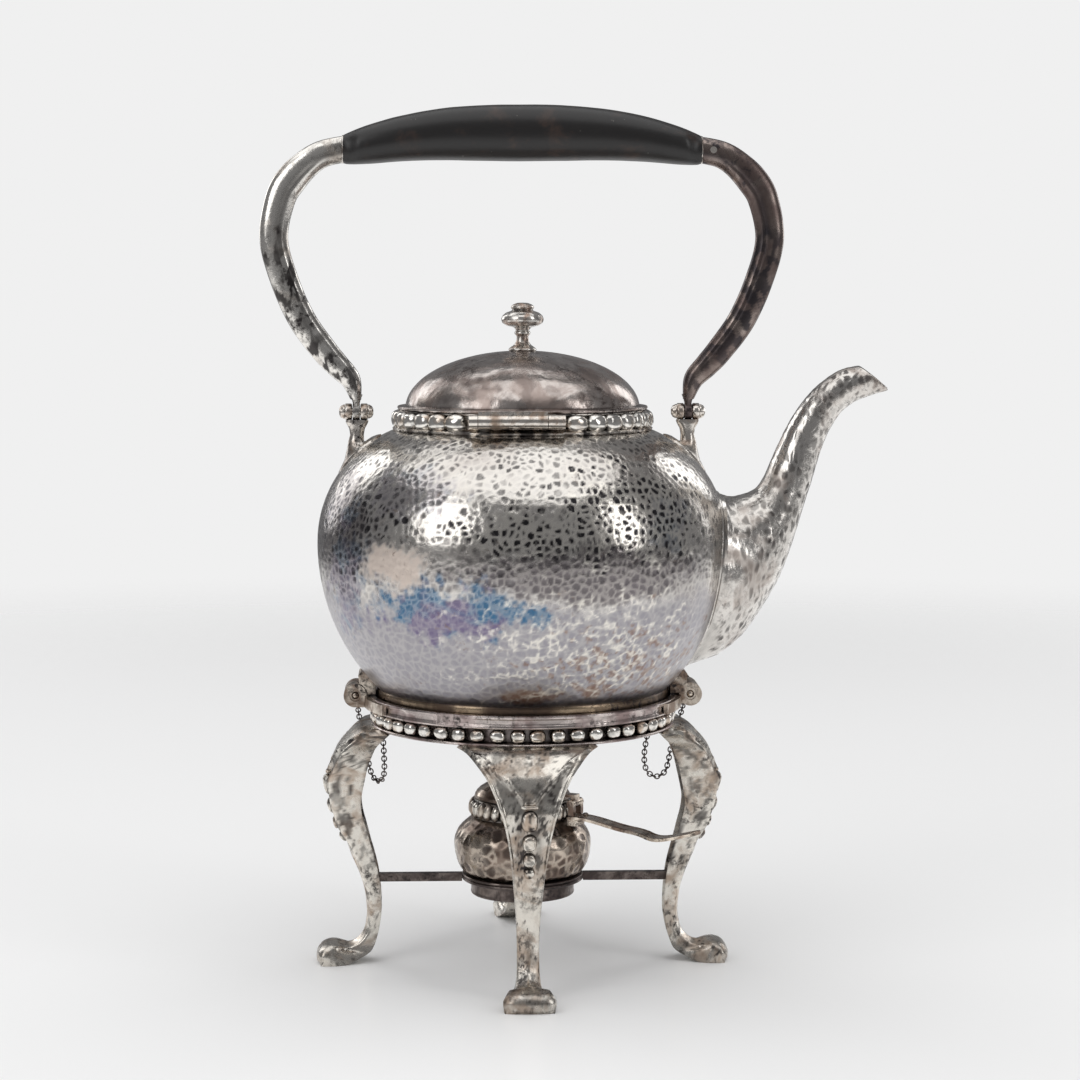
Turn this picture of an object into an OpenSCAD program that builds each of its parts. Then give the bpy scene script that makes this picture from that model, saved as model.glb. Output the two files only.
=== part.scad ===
// Spirit kettle that tilts on a four legged stand, with a burner below it.
// The kettle stands on a ring. Two loose pins hold it.
// With the left pin out it tips about the right one.
// Spout towards +X, the lid's hinge towards -Y, feet on z = 0. Millimetres.

/* [Kettle] */
// Greatest outer radius of the kettle's body
body_r = 83.8; // [76:0.1:92]
// Height of the belly, where the body is widest
belly_z = 171.6; // [170:0.1:176]
// Height of the body's flat underside
floor_z = 107.5; // [107.2:0.1:109]
// Outer radius of that flat underside
floor_r = 53.98; // [52:0.01:55.5]
// Thickness of the body's sheet
body_wall = 1.2; // [0.8:0.1:1.6]
// Height of the shoulder's top edge
shoulder_z = 217.1; // [214:0.1:222]
// Radius of the shoulder's top edge
neck_r = 52.5; // [50:0.1:54]
// Height of the foot band's top at its outer edge
foot_top_z = 112; // [110:0.5:112.5]
// Outer radius of the foot band
foot_r = 59.5; // [57:0.1:60]
// Thickness of the foot band
foot_wall = 1.5; // [1:0.1:2.5]

/* [Neck collar] */
// Radius of the mouth
mouth_r = 46.5; // [44:0.1:47.5]
// Outer radius of the collar's wall
collar_r = 49.6; // [49:0.1:50.4]
// Height of the collar above the shoulder
collar_h = 8.2; // [7:0.1:10]
// Height of the collar's bottom flange
collar_flange_h = 0.6; // [0.4:0.1:1]
// Radius of a collar bead
collar_bead_r = 3.75; // [3.2:0.05:3.75]
// How far a collar bead stands out
collar_bead_depth = 4.3; // [3:0.1:5]
// Number of collar beads
collar_bead_count = 32; // [28:1:32]
// Angle from the front to the first bead, on the spout's side
collar_bead_start = 22.8; // [22.5:0.1:26]
// Angle from the front to the last bead, on the other side
collar_bead_end = 33.2; // [33:0.1:35]

/* [Lid] */
// Radius of the dome at its base
lid_r = 48; // [46:0.1:49]
// Height of the dome
lid_h = 23.7; // [18:0.1:28]
// Radius of the lid's thin flange
lid_flange_r = 51; // [50:0.1:51.4]
// Thickness of the lid's sheet
lid_wall = 1; // [0.7:0.1:1.3]
// Depth of the bezel that drops into the mouth
bezel_depth = 6; // [4:0.5:8]
// Gap all round between the bezel and the mouth, so that the lid can swing out
bezel_gap = 0.8; // [0.7:0.1:1.5]
// Radius of the lid's hinge knuckles
lid_knuckle_r = 2.75; // [2.4:0.05:2.75]
// Length of the lid's own knuckle
lid_knuckle_len = 27.1; // [20:0.1:27.4]
// Length of the left collar knuckle
left_collar_knuckle_len = 3.4; // [3:0.1:3.6]
// Length of the right collar knuckle
right_collar_knuckle_len = 6.6; // [5:0.1:6.8]
// Left end of the hinge
lid_hinge_left_x = -22.8; // [-23.2:0.1:-21]
// Radius of the finial's broad disc
finial_r = 8.7; // [7:0.1:10]
// Height of the finial
finial_h = 19.5; // [17:0.5:24]

/* [Spout] */
// Thickness of the spout's sheet
spout_wall = 1.2; // [0.8:0.1:1.4]
// Half width of the spout where it meets the body
spout_base_half_w = 27; // [22:0.5:29]
// Radius of the opening in the body behind the spout
spout_hole_r = 13; // [8:0.5:14]
// Height of the opening in the body
spout_hole_z = 152; // [148:1:156]

/* [Handle] */
// Height of the handle's pivots
handle_z = 224.3; // [223:0.1:227]
// Distance of the handle's pivots from the middle
handle_x = 68; // [67:0.1:69]
// Length of each of a handle hinge's three knuckles
handle_knuckle_len = 2.9; // [2.5:0.1:3.2]
// Radius of the handle hinges' knuckles
handle_knuckle_r = 3.3; // [2.8:0.1:3.4]
// Reach of an arm's widest place from the middle
arm_reach = 107.5; // [104:0.1:112]
// Thickness of an arm, front to back
arm_depth = 9; // [6:0.5:10]
// Length of the black grip
grip_len = 147; // [143:0.5:150]
// Depth of the grip, front to back
grip_depth = 21; // [17:0.5:26]
// Radius of the grip rivets
grip_rivet_r = 1.4; // [1:0.1:1.8]

/* [Ring] */
// Outer radius of the ring's smooth rim
rim_r = 63.2; // [63:0.1:63.4]
// Height of the rim's top edge
rim_z = 109.4; // [109:0.1:109.6]
// Height of the ledge that carries the kettle
ledge_z = 105.6; // [105:0.1:106]
// Height of the ring's underside
ring_z = 97.2; // [97:0.1:97.6]
// Inner radius of the ring
ring_inner_r = 56.6; // [55:0.1:56.9]
// Outer radius of the ring's bottom flange
ring_flange_r = 61.6; // [61:0.1:62]
// Radius of the wall behind the ring's beads
bead_wall_r = 58; // [57.8:0.1:58.2]
// Radius of a ring bead
ring_bead_r = 2.45; // [2.1:0.05:2.5]
// Number of ring beads
ring_bead_count = 48; // [40:1:56]

/* [Legs] */
// Thickness of the leg casting
leg_wall = 1.6; // [1.2:0.1:1.8]
// Radius that the toe reaches
toe_r = 84.2; // [83.7:0.1:88]
// Height of the cross bars' underside
bar_z = 32.4; // [32:0.1:33]
// Height of a cross bar
bar_h = 3.3; // [2.5:0.1:3.4]
// Width of a cross bar
bar_w = 3; // [2:0.1:4]

/* [Lugs and pins] */
// Distance of the loose pins from the middle
pin_x = 68.2; // [68:0.1:68.6]
// Height of the loose pins
pin_z = 109.4; // [109.2:0.1:109.8]
// Radius of the lug knuckles
lug_r = 4.7; // [4.2:0.1:4.8]
// Radius of a loose pin
pin_r = 1.5; // [1.2:0.05:1.7]
// Half width of a lug, front to back
lug_half_w = 8.5; // [8:0.1:10]
// Half width of a lug's middle knuckle
lug_middle_half_w = 2.7; // [2.3:0.1:3.4]
// Angle on each side that a stand lug's strap covers
lug_strap_angle = 29; // [24:1:31]

/* [Burner] */
// Greatest radius of the font
font_r = 28; // [25:0.1:30]
// Height at which the font is widest
font_z = 48.6; // [47:0.1:50]
// Height of the font's underside
font_bottom_z = 36.1; // [36:0.1:36.4]
// Height of the font's flat top
font_top_z = 59; // [57:0.1:61]
// Radius of the font's flat top
font_top_r = 20; // [19.5:0.1:20.5]
// Thickness of the font's sheet
font_wall = 1; // [0.7:0.1:1.4]
// Number of beads round the font's top
font_bead_count = 26; // [22:1:26]
// Height of the font's bead collar
font_bead_h = 7.5; // [6.5:0.1:8]
// Radius of the wick tube
wick_tube_r = 4.4; // [3:0.1:5]
// Inner radius of the burner holder
holder_r = 19.4; // [17:0.1:19.8]
// Angle of the strap handle from the spout's side towards the front
strap_angle = 30; // [25:1:60]
// Reach of the strap handle
strap_reach = 79; // [72:0.5:84]
// Width of the strap handle
strap_w = 9.5; // [9:0.1:12]
// Height of the snuffer's dome
snuffer_h = 7.7; // [7:0.1:10]

/* [Chains] */
// Radius of the middle of a link's wire ring
link_r = 1.15; // [1:0.05:1.3]
// Radius of a link's wire
link_wire_r = 0.25; // [0.2:0.01:0.3]
// Distance from one link to the next
link_pitch = 1.68; // [1.6:0.01:1.75]

/* [Fits] */
// Radial clearance of a pin that turns or slides
running_fit = 0.05; // [0.02:0.01:0.1]
// Radial clearance of a pin that is fixed
fixed_fit = 0.02; // [0.01:0.01:0.04]
// Gap between pieces that move past each other
moving_gap = 0.35; // [0.3:0.01:0.4]
// Gap at seats and between hinge knuckles
seat_gap = 0.3; // [0.25:0.01:0.35]

/* [Hidden] */
$fn = 72;
eps = 0.01;

// The outermost point of the spout and of the arms set where the kettle's axis lies in the whole model
spout_run = 66.6;
spout_reach = body_r + spout_run;
axis_x = (arm_reach - spout_reach) / 2;

// Body: two arcs that meet upright at the belly
shoulder_r = (pow(body_r - neck_r, 2) + pow(shoulder_z - belly_z, 2)) / (2 * (body_r - neck_r));
shoulder_centre_r = body_r - shoulder_r;
lower_r = (pow(body_r - floor_r, 2) + pow(belly_z - floor_z, 2)) / (2 * (body_r - floor_r));
lower_centre_r = body_r - lower_r;

// Collar, lid and hinge heights build up from the shoulder
collar_top_z = shoulder_z + collar_h;
lid_z = collar_top_z + seat_gap;
flange_top_z = lid_z + lid_wall;
lid_top_z = lid_z + lid_h;
bezel_r = mouth_r - bezel_gap;
lid_hinge_y = -(collar_r + lid_knuckle_r + moving_gap);
lid_hinge_z = collar_top_z - lid_knuckle_r - 0.05;
lid_pin_r = 1;
lid_knuckle_x = lid_hinge_left_x + left_collar_knuckle_len + seat_gap;
right_collar_knuckle_x = lid_knuckle_x + lid_knuckle_len + seat_gap;

// Handle hinge: three knuckles in a row along X, the arm's own in the middle
handle_pitch = handle_knuckle_len + seat_gap;
handle_pin_r = 1.5;

// Loose pins: how far the head stands behind the lug
pin_head_h = 1.5;
pin_head_y = lug_half_w + seat_gap;

// Kettle leaves stand this far above the rim
leaf_gap = 0.6;

strap_root_z = 61.4;
font_neck_r = 19.3;
font_bead_z = font_top_z + font_bead_h / 2;
snuffer_z = font_top_z + font_bead_h + seat_gap;
snuffer_r = 19.7;
snuffer_hinge_r = 24.2;
snuffer_hinge_z = snuffer_z - 0.6;
snuffer_knuckle_r = 1.6;
snuffer_pin_r = 0.8;
snuffer_knuckle_len = 4;
snuffer_ear_len = 2.2;

// One leg from the side, outer edge from the ring down to the floor, then the inner edge up again
leg_outer = [
    [ring_flange_r, ring_z], [67.2, 96.4], [71.2, 92.7], [75.3, 87.7], [78.3, 80.3], [80.3, 75],
    [78.7, 65], [75.5, 55], [71.9, 48.6], [66.4, 36], [64.2, 28.9], [63.1, 21], [63.6, 15.8],
    [64.8, 12], [67.5, 8.5], [71, 6.8], [74, 8.2], [toe_r - 4.2, 8.4], [toe_r - 0.7, 6],
    [toe_r, 3], [toe_r - 0.6, 0]];
leg_inner = [
    [72, 0], [61.9, 5.9], [59, 12.5], [57.9, 22], [58.6, 34], [61.7, 47], [64.8, 57], [66.5, 65],
    [65.5, 72], [63.7, 83.5], [62.2, 90.8], [ring_flange_r - 2.2, ring_z]];
// The same leg from the front: half width and height
leg_front = [
    [27.5, ring_z], [22.6, 95], [19.2, 91.4], [17.3, 89.5], [11.6, 76.6], [8.6, 66.2], [7.1, 55.4],
    [5.9, 44.2], [4.7, 28.9], [4.4, 20], [4.4, 13], [5, 8], [10.2, 2.6], [10.2, 0]];
// Beads down the middle of a leg: height and radius
leg_beads = [[72.4, 3.9], [63.8, 3.3], [56.9, 2.8], [51.4, 2.4]];

// The spout from the side: upper and lower edge beyond the body's radius, and half its width, to the mouth
spout_upper = [
    [-1.3, 189.8], [2.2, 189.2], [7.2, 190.2], [12.2, 192.6], [15.7, 197.6], [18.3, 203.6],
    [22.8, 213.4], [28.1, 223.2], [35.9, 233.1], [45.8, 240.5], [54, 242.9]];
spout_lower = [
    [-4.3, 124.3], [6.7, 133.5], [19.2, 152], [25.7, 167], [31.2, 184], [34.8, 195],
    [38.5, 207.2], [42.7, 217], [48, 224.6], [55.4, 229.3], [spout_run, 232.8]];
spout_half_w = [27, 23.5, 19, 15.5, 12.5, 10.7, 9.2, 8.3, 7.7, 7.3, 7];
spout_seam_top_z = 191;
spout_seam_bottom_z = 119.6;
spout_sides = 36;

// An arm's middle line from just above its knuckle to the grip, as x, z, half width and half depth
arm_line = [
    [handle_x, handle_z + 5, 2.2, 3.2], [handle_x + 2.2, handle_z + 13, 4.2, 3.9],
    [handle_x + 7.6, handle_z + 19, 5.1, 4.3], [arm_reach - 26.8, 249.1, 5.5, 4.4],
    [arm_reach - 17.6, 261.8, 5.8, 4.5], [arm_reach - 10.3, 278.2, 5.9, 4.5],
    [arm_reach - 6, 295, 6, 4.5], [arm_reach - 8.6, 311, 6.4, 4.5], [arm_reach - 13.4, 319.4, 6.6, 4.4],
    [arm_reach - 20, 326, 6, 4.3], [arm_reach - 26, 329.6, 5.7, 4.3], [grip_len / 2 + 0.05, 331.4, 5.6, 4.3]];
arm_sides = 14;

// The grip is arched above and nearly straight below, with a tenon at each end
grip_line = [
    [-1, 337.2, 326], [-0.97, 338.4, 325.4], [-0.86, 341.6, 325.6], [-0.68, 345.4, 326.6],
    [-0.45, 348.4, 327.2], [-0.2, 349.8, 327], [0, 350, 326.8], [0.2, 349.8, 327], [0.45, 348.4, 327.2],
    [0.68, 345.4, 326.6], [0.86, 341.6, 325.6], [0.97, 338.4, 325.4], [1, 337.2, 326]];
grip_sides = 24;
grip_tenon_r = 3.4;
grip_tenon_len = 8;
grip_rivet_x = grip_len / 2 + 4.6;
grip_end_z = 331.4;

// Chain routes, chosen by hand from the staple on the ring to the loop behind the pin's head
chain_left_route = [
    [-57.6, 9, 93.85], [-57.2, 9.6, 88], [-56.8, 10.4, 80], [-56.8, 11.4, 75], [-57.6, 13.2, 71.6],
    [-59.8, 16.6, 70.2], [-62, 20, 72], [-63.4, 21.8, 76.4], [-64.6, 22.8, 82], [-66.4, 24, 90],
    [-67.6, 22.5, 97], [-68.2, 18.4, 103.4], [-68.2, 14.3, 107.6]];
chain_right_route = [
    [54.4, 20.6, 93.85], [53, 20.8, 88], [51.8, 21.2, 80.5], [52, 21.6, 75.4], [53.4, 21.9, 72],
    [56.9, 22.4, 70.2], [60.4, 23, 72], [62, 23.8, 76], [63.2, 24.6, 82], [65.2, 25, 90], [67.4, 23, 97],
    [68.2, 18.6, 103.4], [68.2, 14.3, 107.6]];

// Points along an arc round (cx, cy)
function arc(cx, cy, r, from, to, steps) =
    [for (i = [0 : steps]) let (a = from + (to - from) * i / steps) [cx + r * cos(a), cy + r * sin(a)]];
function reversed(list) = [for (i = [len(list) - 1 : -1 : 0]) list[i]];
// Outer radius of the body at a height
function body_radius(z) =
    z < belly_z
        ? lower_centre_r + sqrt(pow(lower_r, 2) - pow(z - belly_z, 2))
        : shoulder_centre_r + sqrt(max(0, pow(shoulder_r, 2) - pow(z - belly_z, 2)));
// Height of the body's underside at a radius
function underside_z(r) = belly_z - sqrt(pow(lower_r, 2) - pow(r - lower_centre_r, 2));
// Height of the font's shoulder at a radius
function font_shoulder_z(r) =
    font_z + (font_top_z - font_z) * sqrt((1 - pow(r / font_r, 2)) / (1 - pow(font_top_r / font_r, 2)));

// Outline of the body's skin, grown outwards, from the underside to the shoulder
function body_skin(grow) =
    concat(
        arc(lower_centre_r, belly_z, lower_r + grow,
            -asin((belly_z - floor_z + grow) / (lower_r + grow)), 0, 14),
        arc(shoulder_centre_r, belly_z, shoulder_r + grow, 6,
            asin((shoulder_z - belly_z + grow) / (shoulder_r + grow)), 12));

// A smooth closed surface through rings of points, either capped at its ends or joined last to first
module loft(rings, closed = false) {
    count = len(rings);
    size = len(rings[0]);
    last = closed ? count - 1 : count - 2;
    sides = [for (i = [0 : last], j = [0 : size - 1])
        let (a = i * size + j, b = i * size + (j + 1) % size)
        let (c = ((i + 1) % count) * size + j, d = ((i + 1) % count) * size + (j + 1) % size)
        each [[a, c, d], [a, d, b]]];
    top = (count - 1) * size;
    caps = closed ? [] : [for (j = [1 : size - 2]) each [[0, j, j + 1], [top, top + j + 1, top + j]]];
    polyhedron(points = [for (ring = rings) each ring], faces = concat(sides, caps));
}

// A smooth curve through points, with steps points on each stretch
function spline(points, steps) =
    let (n = len(points))
    concat(
        [for (i = [0 : n - 2], k = [0 : steps - 1])
            let (p0 = points[max(i - 1, 0)], p1 = points[i], p2 = points[i + 1], t = k / steps)
            let (p3 = points[min(i + 2, n - 1)])
            0.5 * (2 * p1 + (p2 - p0) * t + (2 * p0 - 5 * p1 + 4 * p2 - p3) * t * t
                + (3 * p1 - p0 - 3 * p2 + p3) * t * t * t)],
        [points[n - 1]]);

// Everything is drawn round the kettle's own axis
module placed() {
    translate([axis_x, 0, 0]) children();
}

// A cylinder along Y between two places
module bar_y(x, z, r, from, to) {
    translate([x, from, z]) rotate([-90, 0, 0]) cylinder(r = r, h = to - from);
}

// A cylinder along X between two places
module bar_x(y, z, r, from, to) {
    translate([from, y, z]) rotate([0, 90, 0]) cylinder(r = r, h = to - from);
}

// The body is one sheet: flat underside, round belly, shoulder with the mouth, and an opening to the spout
module kettle_body() {
    skin = concat([[0, floor_z]], body_skin(0), [[mouth_r, shoulder_z]]);
    hollow = concat([[mouth_r, shoulder_z - body_wall]], reversed(body_skin(-body_wall)),
        [[0, floor_z + body_wall]]);
    color("silver") placed() difference() {
        rotate_extrude() polygon(concat(skin, hollow));
        bar_x(0, spout_hole_z, spout_hole_r, body_r - 30, body_r + 10);
    }
}

module kettle_foot() {
    inner_r = foot_r - foot_wall;
    color("gainsboro") placed() rotate_extrude() polygon([
        [inner_r, ledge_z + seat_gap], [foot_r, ledge_z + seat_gap],
        [foot_r, underside_z(foot_r) - eps], [inner_r, underside_z(inner_r) - eps]]);
}

module neck_collar() {
    color("silver") placed() rotate_extrude() polygon([
        [mouth_r, shoulder_z], [neck_r, shoulder_z], [neck_r, shoulder_z + collar_flange_h],
        [collar_r, shoulder_z + collar_flange_h], [collar_r, collar_top_z], [mouth_r, collar_top_z]]);
}

// Domed beads in a row against the collar that leaves the hinge free
module collar_beads() {
    first = collar_bead_start;
    spread = 360 - collar_bead_start - collar_bead_end;
    middle_z = shoulder_z + (collar_flange_h + collar_h) / 2;
    color("wheat") placed() for (i = [0 : collar_bead_count - 1])
        rotate(-90 + first + spread * i / (collar_bead_count - 1))
            translate([collar_r + 0.05, 0, middle_z]) rotate([0, 90, 0]) rotate_extrude()
                polygon(concat([[0, 0]], [for (k = [0 : 5])
                    [collar_bead_r * cos(18 * k), collar_bead_depth * sin(18 * k)]]));
}

function spout_seam(inset) =
    let (middle = (spout_seam_top_z + spout_seam_bottom_z) / 2)
    let (half = (spout_seam_top_z - spout_seam_bottom_z) / 2 - inset, half_w = spout_base_half_w - inset)
    [for (j = [0 : spout_sides - 1])
        let (a = 360 * j / spout_sides, z = middle + half * cos(a))
        let (y = half_w * sin(a) * (1 + 0.2 * cos(a)), r = body_radius(z) + 0.05)
        [sqrt(pow(r, 2) - pow(y, 2)), y, z]];
function spout_ring(i, inset) =
    let (root = [body_r, 0], u = spout_upper[i] + root, l = spout_lower[i] + root)
    let (m = (u + l) / 2, half = norm(u - l) / 2)
    let (along = (u - m) / half)
    [for (j = [0 : spout_sides - 1])
        let (a = 360 * j / spout_sides, p = m + along * (half - inset) * cos(a))
        [p[0], (spout_half_w[i] - inset) * sin(a), p[1]]];

// The spout is a bent tube that leaves the body over a broad drop shaped seam and ends in a slanting mouth
module spout() {
    count = len(spout_upper);
    outside = concat([spout_seam(0)], [for (i = [0 : count - 1]) spout_ring(i, 0)]);
    inside = concat([spout_seam(spout_wall)], [for (i = [0 : count - 1]) spout_ring(i, spout_wall)]);
    color("silver") placed() loft(concat(outside, reversed(inside)), closed = true);
}

// Wedge that joins a lug to the body, seen along Y on the spout's side
module lug_wedge() {
    translate([0, lug_half_w, 0]) rotate([90, 0, 0]) linear_extrude(2 * lug_half_w) polygon([
        [pin_x - 8.2, rim_z + leaf_gap], [pin_x - 4.4, rim_z + leaf_gap], [pin_x - 1.7, rim_z + 3.6],
        [pin_x - 1.2, rim_z + 8.2], [pin_x - 2.4, rim_z + 9.6], [pin_x - 8.2, rim_z + 9.6]]);
}

// The body's outside as one solid, to cut what sits on it
module body_solid(grow) {
    rotate_extrude() polygon(concat([[0, floor_z - grow]], body_skin(grow), [[0, shoulder_z + grow]]));
}

module foot_solid() {
    translate([0, 0, ledge_z]) cylinder(r = foot_r + eps, h = foot_top_z - ledge_z + 2);
}

// Right lug: front and rear knuckles that turn on the loose pin
module kettle_lug_right() {
    inner = lug_middle_half_w + seat_gap;
    color("rosybrown") placed() difference() {
        union() {
            difference() {
                lug_wedge();
                bar_y(pin_x, pin_z, lug_r + moving_gap, -inner, inner);
            }
            bar_y(pin_x, pin_z, lug_r, -lug_half_w, -inner);
            bar_y(pin_x, pin_z, lug_r, inner, lug_half_w);
        }
        bar_y(pin_x, pin_z, pin_r + running_fit, -lug_half_w - 1, lug_half_w + 1);
        bar_y(pin_x, pin_z, pin_r + 0.9, -lug_half_w - 1, -lug_half_w + 0.8);
        body_solid(eps);
        foot_solid();
    }
}

// Left lug: one middle knuckle, open below, that hooks over its pin
module kettle_lug_left() {
    outer = lug_middle_half_w + seat_gap;
    hook_r = pin_r + 0.25;
    color("rosybrown") placed() mirror([1, 0, 0]) difference() {
        union() {
            difference() {
                lug_wedge();
                bar_y(pin_x, pin_z, lug_r + moving_gap, -lug_half_w - 1, -lug_middle_half_w);
                bar_y(pin_x, pin_z, lug_r + moving_gap, lug_middle_half_w, lug_half_w + 1);
            }
            bar_y(pin_x, pin_z, lug_r, -lug_middle_half_w, lug_middle_half_w);
        }
        bar_y(pin_x, pin_z, hook_r, -outer, outer);
        translate([pin_x - hook_r, -outer, pin_z - 2 * lug_r]) cube([2 * hook_r, 2 * outer, 2 * lug_r]);
        body_solid(eps);
        foot_solid();
    }
}

// A handle socket: two knuckles on a short neck above a leaf that lies on the shoulder
module handle_socket() {
    half = handle_knuckle_len / 2;
    end = half + handle_pitch;
    leaf_half_w = 6.5;
    leaf_from = handle_x - 14;
    leaf_to = handle_x + 6;
    difference() {
        union() {
            difference() {
                union() {
                    bar_x(0, handle_z, handle_knuckle_r, handle_x - end, handle_x + end);
                    translate([handle_x - end, -2.6, handle_z - 6.6]) cube([2 * end, 5.2, 5]);
                }
                bar_x(0, handle_z, handle_knuckle_r + moving_gap,
                    handle_x - half - seat_gap, handle_x + half + seat_gap);
            }
            translate([handle_x - 3.4, -2.6, shoulder_z - 16])
                cube([6.8, 5.2, handle_z - 5 - shoulder_z + 16]);
            intersection() {
                body_solid(1.2);
                linear_extrude(300) polygon([
                    [leaf_from, 0], [leaf_from + 5, -leaf_half_w * 0.8], [handle_x - 3, -leaf_half_w],
                    [leaf_to - 3, -leaf_half_w * 0.7], [leaf_to, 0], [leaf_to - 3, leaf_half_w * 0.7],
                    [handle_x - 3, leaf_half_w], [leaf_from + 5, leaf_half_w * 0.8]]);
                translate([0, 0, belly_z + 10]) cylinder(r = 2 * body_r, h = 100);
            }
        }
        body_solid(0.05);
        bar_x(0, handle_z, handle_pin_r + fixed_fit, handle_x - end - 1, handle_x + end + 1);
    }
}

module handle_socket_left() {
    color("silver") placed() mirror([1, 0, 0]) handle_socket();
}

module handle_socket_right() {
    color("tan") placed() handle_socket();
}

// Each pivot is a plain pin with a domed cap at both ends
module handle_pivots() {
    end = handle_knuckle_len / 2 + handle_pitch;
    cap_h = 2.3;
    cap = [[0, end + 0.1], [2.9, end + 0.1], [2.9, end + 0.6], [2.3, end + 1.7],
        [1.2, end + cap_h], [0, end + cap_h]];
    color("silver") placed() for (side = [-1, 1]) translate([side * handle_x, 0, handle_z]) {
        bar_x(0, 0, handle_pin_r, -end - 0.5, end + 0.5);
        for (turn = [90, -90]) rotate([0, turn, 0]) rotate_extrude() polygon(cap);
    }
}

// Two short knuckles with brackets that reach back to the collar
module collar_knuckles() {
    spans = [[lid_hinge_left_x, lid_hinge_left_x + left_collar_knuckle_len],
        [right_collar_knuckle_x, right_collar_knuckle_x + right_collar_knuckle_len]];
    color("tan") placed() difference() {
        for (span = spans) {
            bar_x(lid_hinge_y, lid_hinge_z, lid_knuckle_r, span[0], span[1]);
            translate([span[0], lid_hinge_y, lid_hinge_z - lid_knuckle_r])
                cube([span[1] - span[0], 12, lid_knuckle_r]);
        }
        bar_x(lid_hinge_y, lid_hinge_z, lid_pin_r + fixed_fit, lid_hinge_left_x - 1, lid_hinge_left_x + 50);
        translate([0, 0, shoulder_z - 1]) cylinder(r = collar_r, h = collar_h + 5);
    }
}

module lid_hinge_pin() {
    end = right_collar_knuckle_x + right_collar_knuckle_len;
    color("tan") placed() bar_x(lid_hinge_y, lid_hinge_z, lid_pin_r, lid_hinge_left_x - 0.3, end + 0.3);
}

// Height of the dome above its base at a radius
function dome_points(r, h, base, steps) =
    [for (i = [0 : steps]) let (a = 90 * i / steps) [r * cos(a), base + h * sin(a)]];

module lid_dome() {
    stud_hole_r = 1.6;
    outside = [for (p = dome_points(lid_r, lid_h, lid_z, 16)) if (p[0] > stud_hole_r) p];
    inside = [for (p = dome_points(lid_r - lid_wall, lid_h - lid_wall, lid_z, 16))
        if (p[0] > stud_hole_r) p];
    color("rosybrown") placed() rotate_extrude() polygon(concat(
        [[lid_flange_r, lid_z], [lid_flange_r, flange_top_z], [lid_r, flange_top_z]],
        [for (p = outside) if (p[1] > flange_top_z) p],
        [[stud_hole_r, lid_top_z], [stud_hole_r, lid_top_z - lid_wall]],
        reversed(inside)));
}

module lid_bezel() {
    color("silver") placed() translate([0, 0, lid_z - bezel_depth]) difference() {
        cylinder(r = bezel_r, h = bezel_depth);
        translate([0, 0, -1]) cylinder(r = bezel_r - lid_wall, h = bezel_depth + 2);
    }
}

// The lid's long knuckle with a leaf that meets the flange edge to edge
module lid_hinge_leaf() {
    leaf_h = flange_top_z - lid_hinge_z;
    end = lid_knuckle_x + lid_knuckle_len;
    color("silver") placed() difference() {
        union() {
            bar_x(lid_hinge_y, lid_hinge_z, lid_knuckle_r, lid_knuckle_x, end);
            translate([lid_knuckle_x, lid_hinge_y - 1.2, lid_hinge_z]) cube([lid_knuckle_len, 2.4, leaf_h]);
            translate([lid_knuckle_x, lid_hinge_y - 1.2, lid_z]) cube([lid_knuckle_len, 9, lid_wall]);
        }
        translate([0, 0, lid_z - 1]) cylinder(r = lid_flange_r, h = lid_wall + 2);
        bar_x(lid_hinge_y, lid_hinge_z, lid_pin_r + running_fit, lid_knuckle_x - 1, end + 1);
    }
}

// Turned finial with the stud that passes through the dome
module finial() {
    stud_r = 1.5;
    disc_z = lid_top_z + 10.2;
    top_z = lid_top_z + finial_h;
    color("silver") placed() rotate_extrude() polygon([
        [0, lid_top_z - 5], [stud_r, lid_top_z - 5], [stud_r, lid_top_z + 0.05], [5.4, lid_top_z + 0.05],
        [5.2, lid_top_z + 1.2], [3.6, lid_top_z + 2.2], [2.4, lid_top_z + 4], [2.2, disc_z - 3],
        [3.4, disc_z - 0.6], [finial_r - 2.2, disc_z], [finial_r - 0.4, disc_z + 1.2],
        [finial_r, disc_z + 2.5], [finial_r - 0.5, disc_z + 4], [finial_r - 2, disc_z + 5.4],
        [4.4, disc_z + 6.2], [4.7, disc_z + 7.2], [3.9, top_z - 0.8], [2.2, top_z - 0.1], [0, top_z]]);
}

module finial_nut() {
    nut_h = 2.6;
    color("silver") placed() translate([0, 0, lid_top_z - lid_wall - 0.3 - nut_h]) difference() {
        cylinder(r = 3.4, h = nut_h, $fn = 6);
        translate([0, 0, -1]) cylinder(r = 1.52, h = nut_h + 2);
    }
}

function arm_ring(line, i) =
    let (p = line[i], before = line[max(i - 1, 0)], after = line[min(i + 1, len(line) - 1)])
    let (t = i == 0 ? [0, 1] : i == len(line) - 1 ? [-1, 0] : [after[0] - before[0], after[1] - before[1]])
    let (across = [t[1], -t[0]] / norm(t))
    [for (j = [0 : arm_sides - 1])
        let (a = 360 * j / arm_sides, w = p[2] * cos(a), d = p[3] * arm_depth / 9 * sin(a))
        [p[0] + across[0] * w, d, p[1] + across[1] * w]];

module handle_arm() {
    line = spline(arm_line, 3);
    half = handle_knuckle_len / 2;
    tenon_end = grip_len / 2 + grip_tenon_len;
    difference() {
        union() {
            loft([for (i = [0 : len(line) - 1]) arm_ring(line, i)]);
            bar_x(0, handle_z, handle_knuckle_r, handle_x - half, handle_x + half);
            translate([handle_x - half, -2.4, handle_z]) cube([2 * half, 4.8, 6.4]);
        }
        bar_x(0, handle_z, handle_pin_r + running_fit, handle_x - 5, handle_x + 5);
        bar_x(0, grip_end_z, grip_tenon_r + fixed_fit, grip_len / 2 - 1, tenon_end + 0.1);
        bar_y(grip_rivet_x, grip_end_z, grip_rivet_r + fixed_fit, -arm_depth, arm_depth);
    }
}

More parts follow.
